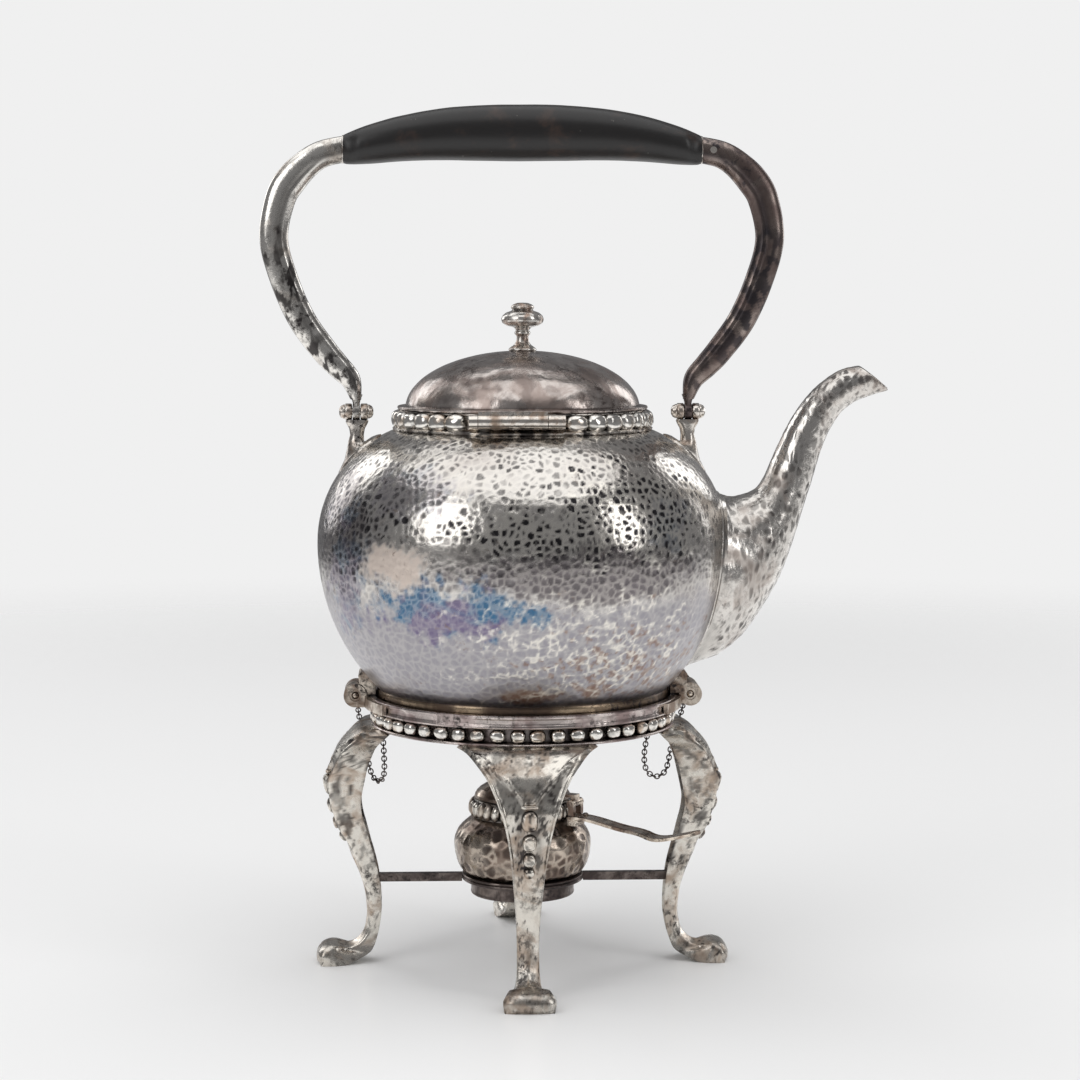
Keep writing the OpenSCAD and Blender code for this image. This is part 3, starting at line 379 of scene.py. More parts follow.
def silver(name, clean=BRIGHT, stain=WARM, deep=DARK, amount=0.5, depth=0.35, rough=(0.16, 0.42),
           patch=0.018, speck=0.003, offset=0.0, dent=None, ridge=None):
    """Tarnished silver: clean metal, soft stains, deep tarnish in specks, hollows and dents."""
    material, tree, shader = new_material(name)
    shader.inputs["Metallic"].default_value = 1.0
    wide = ramp(tree, noise(tree, patch, 5.0, 0.6, 0.6, offset), 0.62 - amount * 0.35, 0.80 - amount * 0.25)
    colour = mix(tree, wide, clean, stain)
    fine = ramp(tree, noise(tree, speck, 6.0, 0.7, 0.3, offset + 1), 0.60 - depth * 0.3, 0.74 - depth * 0.2)
    area = ramp(tree, noise(tree, patch * 2.2, 3.0, 0.5, 0.2, offset + 2), 0.40, 0.62)
    deep_mask = times(tree, fine, area)
    if dent:
        worn = ramp(tree, noise(tree, patch * 1.6, 4.0, 0.6, 0.4, offset + 3), 0.30, 0.60)
        hollow = times(tree, mask(tree, dent), scalar(tree, "MULTIPLY_ADD", worn, 0.5, 0.5))
        deep_mask = scalar(tree, "MAXIMUM", deep_mask, hollow)
    deep_mask = times(tree, deep_mask, min(1.0, 0.55 + depth), clamp=True)
    colour = mix(tree, deep_mask, colour, deep)
    if ridge:
        colour = mix(tree, times(tree, mask(tree, ridge), 0.85), colour, clean)
    link(tree, colour, shader.inputs["Base Color"])
    grain = noise(tree, 0.0011, 3.0, 0.6, 0.0, offset + 4)
    stain_rough = times(tree, scalar(tree, "MAXIMUM", wide, deep_mask), rough[1] - rough[0])
    total = scalar(tree, "ADD", scalar(tree, "MULTIPLY_ADD", grain, 0.08, rough[0] - 0.04), stain_rough)
    link(tree, total, shader.inputs["Roughness"])
    height = scalar(tree, "MULTIPLY_ADD", deep_mask, -0.4, noise(tree, 0.0016, 4.0, 0.6, 0.0, offset + 5))
    roughen(tree, shader, height, 0.15, 0.0004)
    return material


def ebony():
    """Black wood with a soft sheen, fine grain, faint reddish wear and a few pale specks."""
    material, tree, shader = new_material("ebony")
    grain = noise(tree, 0.002, 6.0, 0.65, 1.2)
    wear = ramp(tree, noise(tree, 0.012, 5.0, 0.65, 0.3, 3.0), 0.52, 0.72)
    colour = mix(tree, wear, (0.010, 0.009, 0.009), (0.030, 0.018, 0.014))
    specks = ramp(tree, noise(tree, 0.0016, 2.0, 0.5, 0.0, 8.0), 0.765, 0.79)
    colour = mix(tree, specks, colour, (0.35, 0.33, 0.30))
    link(tree, colour, shader.inputs["Base Color"])
    rough = scalar(tree, "MULTIPLY_ADD", grain, 0.22, 0.24)
    link(tree, rough, shader.inputs["Roughness"])
    roughen(tree, shader, grain, 0.12, 0.0003)
    return material


def cotton():
    material, tree, shader = new_material("cotton")
    weave = tree.nodes.new("ShaderNodeTexVoronoi")
    weave.inputs["Scale"].default_value = 1400.0
    where = place(tree)
    link(tree, where, weave.inputs["Vector"])
    colour = mix(tree, ramp(tree, (weave, 0), 0.1, 0.6), (0.70, 0.64, 0.52), (0.40, 0.34, 0.26))
    link(tree, colour, shader.inputs["Base Color"])
    shader.inputs["Roughness"].default_value = 0.9
    roughen(tree, shader, (weave, 0), 0.6, 0.0004)
    return material


MATERIALS = {
    "spout": silver("spout_silver", clean=(0.72, 0.69, 0.65), stain=(0.46, 0.40, 0.36), amount=0.45,
                    depth=0.4,
                    dent="dent", ridge="ridge", patch=0.016, offset=5.0),
    "beads": silver("bead_silver", amount=0.40, depth=0.25, dent="dent", patch=0.010, speck=0.003,
                    offset=9.0, rough=(0.12, 0.34)),
    "collar": silver("collar_silver", amount=0.75, depth=0.5, stain=BROWN, offset=13.0),
    "lid": silver("lid_silver", clean=(0.62, 0.565, 0.53), stain=(0.38, 0.31, 0.28), deep=(0.09, 0.07, 0.065),
                  amount=0.70, depth=0.55, dent="dent", patch=0.014, speck=0.0035, offset=17.0,
                  rough=(0.15, 0.32)),
    "finial": silver("finial_silver", amount=0.5, depth=0.4, stain=(0.50, 0.38, 0.31), patch=0.006,
                     speck=0.002,
                     offset=21.0, dent="dent"),
    "arm_left": silver("left_arm_silver", amount=0.35, depth=0.62, stain=(0.62, 0.56, 0.50), patch=0.014,
                       speck=0.0035,
                       offset=25.0, dent="dent"),
    "arm_right": silver("right_arm_silver", clean=(0.36, 0.30, 0.27), stain=(0.16, 0.12, 0.11),
                        deep=(0.05, 0.045, 0.05), amount=0.8, depth=0.45, patch=0.02, speck=0.004,
                        offset=29.0,
                        dent="dent", rough=(0.18, 0.38)),
    "ring": silver("ring_silver", clean=(0.64, 0.57, 0.54), stain=(0.32, 0.245, 0.235), amount=0.6, depth=0.4,
                   patch=0.016, offset=33.0, dent="dent", rough=(0.20, 0.40)),
    "leg": silver("leg_silver", clean=(0.80, 0.76, 0.69), stain=(0.50, 0.40, 0.32), amount=0.55,
                  depth=0.55, patch=0.012, speck=0.003, offset=37.0, dent="dent", rough=(0.20, 0.44)),
    "lug": silver("lug_silver", clean=(0.70, 0.62, 0.53), stain=(0.30, 0.22, 0.17), amount=0.60,
                  depth=0.55, patch=0.008, speck=0.002, offset=41.0, rough=(0.28, 0.50)),
    "burner": silver("burner_bronze", clean=(0.58, 0.50, 0.42), stain=(0.20, 0.14, 0.11), amount=0.85,
                     depth=0.5, patch=0.012, speck=0.003, offset=45.0, dent="dent", ridge="ridge",
                     rough=(0.16, 0.36)),
    "dark": silver("dark_silver", clean=(0.24, 0.20, 0.18), stain=(0.10, 0.08, 0.075), amount=0.8,
                   depth=0.5, patch=0.008, speck=0.002, offset=49.0, rough=(0.28, 0.50)),
    "bright": silver("plain_silver", clean=(0.80, 0.75, 0.69), stain=(0.44, 0.34, 0.27), amount=0.5,
                     depth=0.45, patch=0.008, speck=0.002, offset=57.0, rough=(0.18, 0.40), dent="dent"),
    "foot": silver("foot_silver", clean=(0.46, 0.35, 0.24), stain=(0.13, 0.09, 0.065), amount=0.85,
                   depth=0.5, patch=0.02, offset=61.0, rough=(0.2, 0.4), dent="dent"),
    "strap": silver("strap_silver", clean=(0.74, 0.66, 0.56), stain=(0.36, 0.26, 0.20), amount=0.6,
                    depth=0.4, patch=0.010, offset=53.0, rough=(0.18, 0.38)),
    "ebony": ebony(),
    "cotton": cotton(),
}


# The kettle's body: arcs as in the frame, then a skin of hammer marks

BODY_R = 83.8
BELLY_Z = 171.6
FLOOR_Z = 107.5
SHOULDER_Z = 217.1
NECK_R = 52.5
MOUTH_R = 46.5
SHOULDER_R = ((BODY_R - NECK_R) ** 2 + (SHOULDER_Z - BELLY_Z) ** 2) / (2 * (BODY_R - NECK_R))
WALL = 1.2


def arc(cx, cz, r, start, end, count):
    a = np.radians(np.linspace(start, end, count))
    return np.stack([cx + r * np.cos(a), cz + r * np.sin(a)], axis=1)


def body_profile(grow):
    low = -math.degrees(math.asin((BELLY_Z - FLOOR_Z + grow) / (BODY_R + grow)))
    high = math.degrees(math.asin((SHOULDER_Z - BELLY_Z + grow) / (SHOULDER_R + grow)))
    lower = arc(0, BELLY_Z, BODY_R + grow, low, 0, 60)
    upper = arc(BODY_R - SHOULDER_R, BELLY_Z, SHOULDER_R + grow, 1, high, 60)
    return np.concatenate([lower, upper])


def hammered(verts, faces, spacing, seed, depth, stretch=None, width=0.16):
    """The points of a skin with round hammer marks, its dents, the net between them and cell numbers."""
    normals = vertex_normals(verts, faces)
    sample = verts if stretch is None else verts * np.asarray(stretch)
    wander = np.stack([blobs(verts, spacing * 5, seed + k) - 0.5 for k in range(3)], axis=1)
    sample = sample + 0.35 * spacing * wander
    first, second, number = cells(sample, spacing, seed)
    gap = second - first
    ridge = 1 - smooth(gap, 0.02, width)
    bowl = np.clip(1 - (first / 0.62) ** 2, 0, 1)
    level = 0.55 + 0.45 * number
    push = -depth * (0.25 + 0.75 * bowl) * level * (1 - ridge * 0.8)
    dent = smooth(gap, width, width * 2.3) * (0.5 + 0.5 * number)
    net = 1 - smooth(gap, 0.06, 0.27)
    return verts + normals * push[:, None], dent, net, number


def near(points, centre, size, seed, edge=0.5):
    """A soft ragged patch round a place, in millimetres."""
    d = np.linalg.norm((points - np.asarray(centre)) / np.asarray(size), axis=1)
    ragged = (blobs(points, 14.0, seed) - 0.5) * 1.6 * edge + (blobs(points, 4.0, seed + 1) - 0.5) * edge
    return smooth(1 - d + ragged, 0.0, 0.45)


def body_masks(shell, dent, ridge, number):
    """Where the photograph shows the marks dark, rubbed bright, stained or bare; a dark band across the
    middle and the left edge are painted dark reflection and painted shade, with painted highlights on the net
    there, and a bluish spot on the right is a painted reflection.
    """
    # Painted dark reflection: a band across the upper middle, where the dents are painted near black and the
    # net between them bright
    painted_dark_reflection_band = np.maximum(near(shell, (38, -66, 187), (36, 34, 19), 31),
                           near(shell, (5, -75, 181), (36, 34, 11), 33) * 0.9)
    # Painted shade: the base colour is darkened across the middle of the body and at its left edge
    shade = np.maximum(near(shell, (24, -72, 166), (62, 44, 15), 34, 0.3),
                       near(shell, (-74, -34, 178), (20, 44, 32), 36, 0.4))
    # Painted shade at the left edge: darker dents and more patina there
    painted_left_edge_shade = near(shell, (-66, -48, 178), (22, 30, 22), 35)
    upper = smooth(shell[:, 2], 160, 182)
    some = smooth(number + 0.9 * (blobs(shell, 24, 37) - 0.45), 0.20, 0.55)
    bare = near(shell, (-52, -64, 168), (15, 30, 11), 39, 0.35)
    lower = smooth(-shell[:, 2] + 10 * (blobs(shell, 30, 41) - 0.5), -158, -146)
    gold_net = near(shell, (22, -66, 137), (50, 44, 24), 43, 0.6)
    # Dents hold tarnish, and are painted darker in the dark reflection band and at the left edge as painted
    # reflection and painted shade
    strength = 0.80 * upper * some + 0.95 * painted_dark_reflection_band + 0.65 * painted_left_edge_shade + 0.35 * (1 - upper) * (1 - lower)
    dark_dents = dent * np.clip(strength, 0, 1) + 0.5 * painted_dark_reflection_band * smooth(dent, 0.15, 0.5)
    flecks = smooth(blobs(shell, 6, 56), 0.40, 0.56)
    # The net between marks is painted bright: rubbed polish, and painted highlights where it is strongest, in
    # the dark reflection band
    bright_net = ridge * (0.25 + 0.75 * np.maximum(painted_dark_reflection_band, gold_net * flecks))
    patina = 0.95 * lower + 0.35 * painted_left_edge_shade + 0.55 * (1 - upper) * blobs(shell, 30, 45)
    blue = (near(shell, (-30, -74, 151), (38, 44, 13), 47, 0.45)
            + 0.5 * near(shell, (-70, -44, 160), (16, 26, 26), 49, 0.6))
    blue = np.maximum(blue, 0.35 * near(shell, (-44, -58, 196), (22, 30, 12), 50, 0.5))
    # The bluish spot on the right is a painted reflection of a light
    blue = np.maximum(blue, 0.4 * near(shell, (52, -56, 184), (12, 24, 12), 52, 0.4)) * (1 - bare)
    rust = near(shell, (40, -58, 128), (40, 34, 16), 53, 0.9) * smooth(blobs(shell, 5, 55), 0.5, 0.60) * 0.8
    rust = np.maximum(rust, near(shell, (-1, -63, 117), (13, 20, 4), 57, 0.2))
    rust = np.maximum(rust, near(shell, (25, -60, 118), (4.5, 20, 4), 59, 0.3))
    return {"dent": np.clip(dark_dents, 0, 1) * (1 - bare) * (1 - 0.85 * lower),
            "ridge": np.clip(bright_net, 0, 1) * (1 - bare), "patina": np.clip(patina, 0, 1) * (1 - bare),
            "blue": np.clip(blue, 0, 1), "pink": bare, "shade": shade * (1 - bare),
            "rust": np.clip(rust, 0, 1)}


def make_body():
    skin = resample(body_profile(0), 0.6)
    underside = np.stack([np.linspace(0.01, skin[0][0] - 0.6, 24), np.full(24, FLOOR_Z)], axis=1)
    outer = np.concatenate([underside, skin])
    inner = np.concatenate([resample(body_profile(-WALL), 3.0)[::-1],
                            [[r, FLOOR_Z + WALL] for r in (40, 20, 0.01)]])
    rim = np.array([[MOUTH_R, SHOULDER_Z], [MOUTH_R, SHOULDER_Z - WALL]])
    steps = 800
    verts, faces = lathe(np.concatenate([outer, rim, inner]), steps)
    count = len(outer) * steps
    shell = verts[:count].copy()
    shell_faces = [f for f in faces if max(f) < count]
    fine = hammered(shell, shell_faces, 3.0, 11, 0.16)
    # A second, broader set of blows takes over towards the foot
    broad = hammered(shell, shell_faces, 3.7, 23, 0.14, width=0.13)
    low = smooth(-shell[:, 2], -162, -138) * 0.75
    moved = fine[0] * (1 - low)[:, None] + broad[0] * low[:, None]
    dent, ridge = (fine[k] * (1 - low) + broad[k] * low for k in (1, 2))
    flat = smooth(-shell[:, 2], -FLOOR_Z - 1.2, -FLOOR_Z - 0.2)
    verts[:count] = moved * (1 - flat)[:, None] + shell * flat[:, None]
    masks = body_masks(verts[:count], dent, ridge, fine[3])
    masks["inside"] = np.zeros(count)
    for key, values in masks.items():
        masks[key] = np.concatenate([values, np.full(len(verts) - count, float(key == "inside"))])
    piece("kettle_body_hammered", verts, faces, "kettle", body_material(),
          replaces=("kettle_body",), masks=masks)


def body_material():
    """The body's silver with its own stains: lavender, blue and violet, warm pink, and rusty specks, with the
    painted shade, painted dark reflection, painted highlights and painted bluish reflection that its masks
    carry.
    """
    material, tree, shader = new_material("hammered_silver_body")
    shader.inputs["Metallic"].default_value = 1.0
    wide = ramp(tree, noise(tree, 0.030, 5.0, 0.6, 0.5), 0.42, 0.70)
    colour = mix(tree, times(tree, wide, 0.55), (0.70, 0.67, 0.63), (0.44, 0.39, 0.36))
    colour = mix(tree, times(tree, mask(tree, "patina"), 0.9), colour, (0.30, 0.29, 0.325))
    # Painted shade: the shade mask darkens the middle band and the left edge
    colour = mix(tree, times(tree, mask(tree, "shade"), 0.85), colour, (0.15, 0.13, 0.14))
    hue = ramp(tree, noise(tree, 0.016, 3.0, 0.5, 0.8, 61.0), 0.42, 0.58)
    # Blue and violet tarnish; on the right the blue mask also paints a bluish reflection of a light
    sheen = mix(tree, hue, (0.05, 0.15, 0.27), (0.17, 0.14, 0.24))
    colour = mix(tree, times(tree, mask(tree, "blue"), 0.95, clamp=True), colour, sheen)
    colour = mix(tree, times(tree, mask(tree, "pink"), 0.75), colour, (0.80, 0.68, 0.60))
    speck = ramp(tree, noise(tree, 0.0032, 6.0, 0.7, 0.4, 63.0), 0.56, 0.68)
    brown_area = ramp(tree, noise(tree, 0.026, 4.0, 0.6, 0.3, 65.0), 0.46, 0.66)
    brown = times(tree, speck, brown_area)
    colour = mix(tree, times(tree, brown, 0.75), colour, (0.20, 0.13, 0.095))
    colour = mix(tree, times(tree, mask(tree, "rust"), 0.8), colour, (0.24, 0.13, 0.08))
    ragged = ramp(tree, noise(tree, 0.0024, 5.0, 0.65, 0.2, 67.0), 0.30, 0.56)
    # Dents go near black: tarnish, and painted dark reflection and painted shade where the masks put them
    dark = times(tree, mask(tree, "dent"), scalar(tree, "MULTIPLY_ADD", ragged, 0.35, 0.75), clamp=True)
    colour = mix(tree, dark, colour, (0.035, 0.033, 0.036))
    # The net between marks is painted bright: polish, and painted highlights in the dark reflection band
    colour = mix(tree, times(tree, mask(tree, "ridge"), 0.8), colour, (0.90, 0.86, 0.78))
    colour = mix(tree, mask(tree, "inside"), colour, (0.30, 0.26, 0.23))
    link(tree, colour, shader.inputs["Base Color"])
    grain = noise(tree, 0.0012, 3.0, 0.6, 0.0, 69.0)
    base = scalar(tree, "MULTIPLY_ADD", grain, 0.08, 0.15)
    rough = scalar(tree, "ADD", base, times(tree, scalar(tree, "MAXIMUM", mask(tree, "patina"), dark), 0.14))
    rough = scalar(tree, "ADD", rough, times(tree, mask(tree, "pink"), 0.32))
    link(tree, rough, shader.inputs["Roughness"])
    roughen(tree, shader, grain, 0.15, 0.0003)
    return material


# The spout: the same rings as in the frame, with finer steps

SPOUT_UPPER = [[82.5, 189.8], [86, 189.2], [91, 190.2], [96, 192.6], [99.5, 197.6], [102.1, 203.6],
               [106.6, 213.4], [111.9, 223.2], [119.7, 233.1], [129.6, 240.5], [137.8, 242.9]]
SPOUT_LOWER = [[79.5, 124.3], [90.5, 133.5], [103, 152], [109.5, 167], [115, 184], [118.6, 195],
               [122.3, 207.2], [126.5, 217], [131.8, 224.6], [139.2, 229.3], [150.4, 232.8]]
SPOUT_HALF = [27, 23.5, 19, 15.5, 12.5, 10.7, 9.2, 8.3, 7.7, 7.3, 7]
SEAM_TOP = 191.0
SEAM_BOTTOM = 119.6


def body_radius(z):
    z = np.asarray(z, float)
    below = np.sqrt(np.maximum(BODY_R ** 2 - (z - BELLY_Z) ** 2, 0))
    above = BODY_R - SHOULDER_R + np.sqrt(np.maximum(SHOULDER_R ** 2 - (z - BELLY_Z) ** 2, 0))
    return np.where(z < BELLY_Z, below, above)


def spout_seam(inset, out, columns):
    a = circle(columns)
    middle = (SEAM_TOP + SEAM_BOTTOM) / 2
    half = (SEAM_TOP - SEAM_BOTTOM) / 2 - inset
    z = middle + half * np.cos(a)
    y = (SPOUT_HALF[0] - inset) * np.sin(a) * (1 + 0.2 * np.cos(a))
    return np.stack([np.sqrt((body_radius(z) + out) ** 2 - y ** 2), y, z], axis=1)


def spout_rings(inset, columns, steps):
    table = np.concatenate([np.array(SPOUT_UPPER), np.array(SPOUT_LOWER), np.array(SPOUT_HALF)[:, None]],
                           axis=1)
    a = circle(columns)
    rings = []
    for row in spline(table, steps):
        u, l, w = row[0:2], row[2:4], row[4]
        m, half = (u + l) / 2, np.linalg.norm(u - l) / 2
        p = m + (u - m) / half * (half - inset) * np.cos(a)[:, None]
        rings.append(np.stack([p[:, 0], (w - inset) * np.sin(a), p[:, 1]], axis=1))
    return rings


def make_spout():
    columns = 210
    rings = spout_rings(0, columns, 18)
    seam = spout_seam(0, 0.05, columns)
    start = [seam * (1 - t) + rings[0] * t for t in np.linspace(0, 1, 9)[1:-1]]
    # The solder seam: buried in the body, then a lip and its crown
    solder = [spout_seam(-0.6, -2.2, columns), spout_seam(-0.9, -0.3, columns),
              spout_seam(-0.3, 0.75, columns)]
    outer = solder + start + rings
    inside = spout_rings(1.2, columns, 4)
    last = outer[-1] * 0.5 + inside[-1] * 0.5
    normal = np.array([0.62, 0, 0.78]) * 0.5
    rows = outer + [last + normal] + inside[::-1] + [spout_seam(1.2, -2.2, columns)]
    verts = np.concatenate(rows)
    faces = grid_faces(len(rows), columns, close=True)
    count = len(outer) * columns
    shell_faces = [f for f in faces if max(f) < count]
    shell = verts[:count]
    moved, dent, ridge, number = hammered(shell, shell_faces, 3.0, 71, 0.17, stretch=(1.0, 1.0, 0.62),
                                          width=0.15)
    row = np.arange(len(outer))
    edge = np.repeat(smooth(row, 2, 7) * smooth(len(outer) - 1.0 - row, 0, 4), columns)
    verts[:count] = shell + (moved - shell) * edge[:, None]
    # Dark marks gather on the lower outer side and near the bend
    zone = np.maximum(near(shell, (112, -8, 178), (16, 22, 30), 73, 0.6),
                      near(shell, (92, -18, 140), (20, 22, 18), 75, 0.7))
    tip = smooth(shell[:, 2], 222, 234) * 0.5
    strength = np.clip(0.75 + 0.3 * zone + tip * blobs(shell, 12, 77), 0, 1) * edge
    dark_blotches = smooth(blobs(shell, 9, 79), 0.52, 0.66) * 0.6
    dent_mask = np.clip(dent * strength * smooth(number, 0.05, 0.45) + dark_blotches * zone * 0.5, 0, 1)
    seam_dirt = np.repeat(1 - smooth(np.abs(row - 3.0), 0.5, 3.0), columns) * blobs(shell, 6, 81)
    dent_mask = np.clip(np.maximum(dent_mask, seam_dirt * 0.8), 0, 1)
    rest = len(verts) - count
    piece("spout_hammered", verts, faces, "kettle", MATERIALS["spout"], replaces=("spout",),
          masks={"dent": np.concatenate([dent_mask, np.full(rest, 0.75)]),
                 "ridge": np.concatenate([np.clip(ridge * 0.5 * strength, 0, 1), np.zeros(rest)])})


# Foot band: plain above, with a worn lip where the hammering stops

def make_foot():
    steps = 360
    profile = fillet([[55.9, 110.5], [57.2, 112.9], [59.2, 112.3], [59.5, 111.4], [59.5, 105.9],
                      [57.9, 105.9],
                      [57.9, 109.2]], 0.35)
    verts, faces = lathe(profile, steps)
    dirt = smooth(verts[:, 2], 111.2, 112.9) * 0.7 + 0.3 * blobs(verts, 9, 83)
    piece("kettle_foot_band", verts, faces, "kettle", MATERIALS["foot"],
          replaces=("kettle_foot",),
          masks={"dent": np.clip(dirt, 0, 1)}, sharp=50)


# Neck collar and its beads

COLLAR_R = 49.6


def make_collar():
    profile = fillet([[46.3, 217.6], [52.9, 217.0], [53.3, 217.8], [52.4, 218.5], [50.5, 218.7],
                      [49.7, 219.2],
                      [49.6, 224.4], [50.9, 224.6], [50.9, 225.3], [46.6, 225.3], [46.5, 217.6]], 0.22)
    verts, faces = lathe(profile, 288)
    piece("neck_collar_wall", verts, faces, "kettle", MATERIALS["bright"],
          replaces=("neck_collar",),
          masks={"dent": np.clip(smooth(blobs(verts, 8, 85), 0.35, 0.6), 0, 1)}, sharp=50)


def bead(place_xyz, axes, radii, rng, rough=0.03, rows=20, columns=28, seed=0, power=2.0):
    """One cast bead: a slightly uneven ball with the given half sizes along three axes."""
    u = np.linspace(0, math.pi, rows)[:, None]
    v = circle(columns)
    unit = np.stack([np.sin(u) * np.cos(v), np.sin(u) * np.sin(v), np.cos(u) + 0 * v], axis=-1).reshape(-1, 3)
    shaped = bent(unit, 2.0 / power)
    wobble = 1 + rough * (blobs(unit * 10 + seed * 7.3, 11, 87 + seed % 5) - 0.5) * 2
    local = shaped * np.asarray(radii) * (1 + rng.uniform(-0.03, 0.03, 3)) * wobble[:, None]
    return np.asarray(place_xyz) + local @ np.asarray(axes), grid_faces(rows, columns), unit


def merge(parts):
    verts, faces, offset = [], [], 0
    for v, f in parts:
        verts.append(v)
        faces += [[i + offset for i in face] for face in f]
        offset += len(v)
    return np.concatenate(verts), faces


def make_collar_beads():
    rng = np.random.default_rng(91)
    first, last, count = 22.8, 326.8, 32
    parts, dents = [], []
    for i in range(count):
        degrees = -90 + first + (last - first) * i / (count - 1) + rng.uniform(-0.25, 0.25)
        out, side = spoke(math.radians(degrees))
        v, f, unit = bead(out * (COLLAR_R - 0.1), [out, side, [0, 0, 1]], [4.3, 4.8, 3.75], rng, 0.035,
                          seed=i,
                          power=2.6)
        v[:, 2] += 221.45
        parts.append((v, f))
        # Tarnish sits between beads and at their roots, and the polished crown is clear
        recess = 1 - smooth(unit[:, 0], 0.25, 0.62)
        dents.append(np.clip(recess + 0.35 * smooth(blobs(v, 5, 93), 0.55, 0.7), 0, 1))
    verts, faces = merge(parts)
    piece("collar_bead_string", verts, faces, "kettle", MATERIALS["beads"],
          replaces=("collar_beads",),
          masks={"dent": np.concatenate(dents)})


# Lid: shallow hammered dome with its flange, and the turned finial

LID_Z = 225.6
LID_TOP = 249.3
LID_R = 48.0


def make_lid():
    a = np.radians(np.linspace(0, 90, 90))
    dome = np.stack([LID_R * np.cos(a), LID_Z + 23.7 * np.sin(a)], axis=1)
    dome = dome[(dome[:, 0] > 1.4) & (dome[:, 1] > LID_Z + 1.3)]
    flange = fillet([[51.0, LID_Z], [51.3, LID_Z + 0.6], [51.0, LID_Z + 1.2], [48.6, LID_Z + 1.25],
                     dome[0]], 0.25)
    outer = np.concatenate([[[46.8, LID_Z], [51.0, LID_Z]], flange, resample(dome, 0.8)])
    under = np.stack([(LID_R - 1.2) * np.cos(a[::4]), LID_Z + 22.5 * np.sin(a[::4])], axis=1)
    under = under[under[:, 0] > 1.4][::-1]
    profile = np.concatenate([outer, under])
    steps = 420
    verts, faces = lathe(profile, steps)
    faces += grid_faces(len(profile), steps, close=True)[-steps:]
    count = len(outer) * steps
    shell = verts[:count]
    shell_faces = [f for f in faces if max(f) < count]
    moved = hammered(shell, shell_faces, 5.4, 95, 0.12)[0]
    on_dome = smooth(shell[:, 2], LID_Z + 2.0, LID_Z + 4.0)
    verts[:count] = shell + (moved - shell) * on_dome[:, None]
    line = 1 - smooth(np.abs(shell[:, 2] - (LID_Z + 1.5)), 0.2, 1.0)
    spots = smooth(blobs(shell, 10, 97), 0.54, 0.66)
    drift = near(shell, (-26, -36, 236), (24, 22, 8), 99, 0.6)
    mask_values = np.clip(0.35 * spots + 0.6 * line + 0.45 * drift * blobs(shell, 5, 101), 0, 1)
    piece("lid_dome_skin", verts, faces, "lid", MATERIALS["lid"], replaces=("lid_dome",),
          masks={"dent": np.concatenate([mask_values, np.full(len(verts) - count, 0.5)])}, sharp=60)


def make_finial():
    top = LID_TOP + 19.6
    disc = LID_TOP + 10.2
    profile = fillet([[0.01, LID_TOP - 4.9], [1.45, LID_TOP - 4.9], [1.45, LID_TOP - 0.2],
                      [5.6, LID_TOP - 0.15],
                      [5.8, LID_TOP + 0.5], [5.0, LID_TOP + 1.3], [3.6, LID_TOP + 2.2], [2.6, LID_TOP + 3.6],
                      [2.35, disc - 4.2], [3.3, disc - 3.4], [3.3, disc - 2.6], [2.6, disc - 2.0],
                      [3.6, disc - 0.7],
                      [6.6, disc], [8.3, disc + 1.1], [8.75, disc + 2.5], [8.3, disc + 4.0],
                      [6.8, disc + 5.3],
                      [4.5, disc + 6.1], [4.1, disc + 6.5], [4.8, disc + 7.2], [4.6, disc + 8.0],
                      [3.9, top - 0.8],
                      [2.2, top - 0.1], [0.01, top]], 0.45)
    verts, faces = lathe(resample(profile, 0.22), 72)
    grooves = sum(np.clip(1 - np.abs(verts[:, 2] - (disc + lift)), 0, 1) for lift in (6.4, -2.2))
    piece("finial_turned", verts, faces, "lid", MATERIALS["finial"], replaces=("finial",),
          masks={"dent": np.clip(0.7 * grooves + 0.5 * smooth(blobs(verts, 4, 103), 0.5, 0.62), 0, 1)})


# Swing handle: two cast arms and the black grip

HANDLE_X = 68.0
HANDLE_Z = 224.3
ARM_REACH = 107.5
GRIP_LEN = 147.0
ARM_LINE = [[HANDLE_X, HANDLE_Z + 5, 2.2, 3.2], [HANDLE_X + 2.2, HANDLE_Z + 13, 4.2, 3.9],
            [HANDLE_X + 7.6, HANDLE_Z + 19, 5.1, 4.3], [ARM_REACH - 26.8, 249.1, 5.5, 4.4],
            [ARM_REACH - 17.6, 261.8, 5.8, 4.5], [ARM_REACH - 10.3, 278.2, 5.9, 4.5],
            [ARM_REACH - 6, 295, 6, 4.5], [ARM_REACH - 8.6, 311, 6.4, 4.5],
            [ARM_REACH - 13.4, 319.4, 6.6, 4.4],
            [ARM_REACH - 20, 326, 6, 4.3], [ARM_REACH - 26, 329.6, 5.7, 4.3],
            [GRIP_LEN / 2 + 0.05, 331.4, 5.6, 4.3]]
GRIP_LINE = [[-1, 337.2, 326], [-0.97, 338.4, 325.4], [-0.86, 341.6, 325.6], [-0.68, 345.4, 326.6],
             [-0.45, 348.4, 327.2], [-0.2, 349.8, 327], [0, 350, 326.8], [0.2, 349.8, 327],
             [0.45, 348.4, 327.2],
             [0.68, 345.4, 326.6], [0.86, 341.6, 325.6], [0.97, 338.4, 325.4], [1, 337.2, 326]]
GRIP_DEPTH = 21.0
GRIP_END = 4.75
TENON_Z = 331.4


def arm_section(w, d, columns, seam):
    """Round outside, flatter inside, with a soft crease where the two meet."""
    a = circle(columns)
    across, deep = bent(np.cos(a), 0.92), bent(np.sin(a), 0.85)
    crease = np.exp(-((np.cos(a) + 0.30) / 0.10) ** 2) * seam
    inner = smooth(-np.cos(a), 0.35, 0.9) * 0.10
    return across * w * (1 - inner * 0.5), deep * d * (1 - 0.09 * crease - inner)


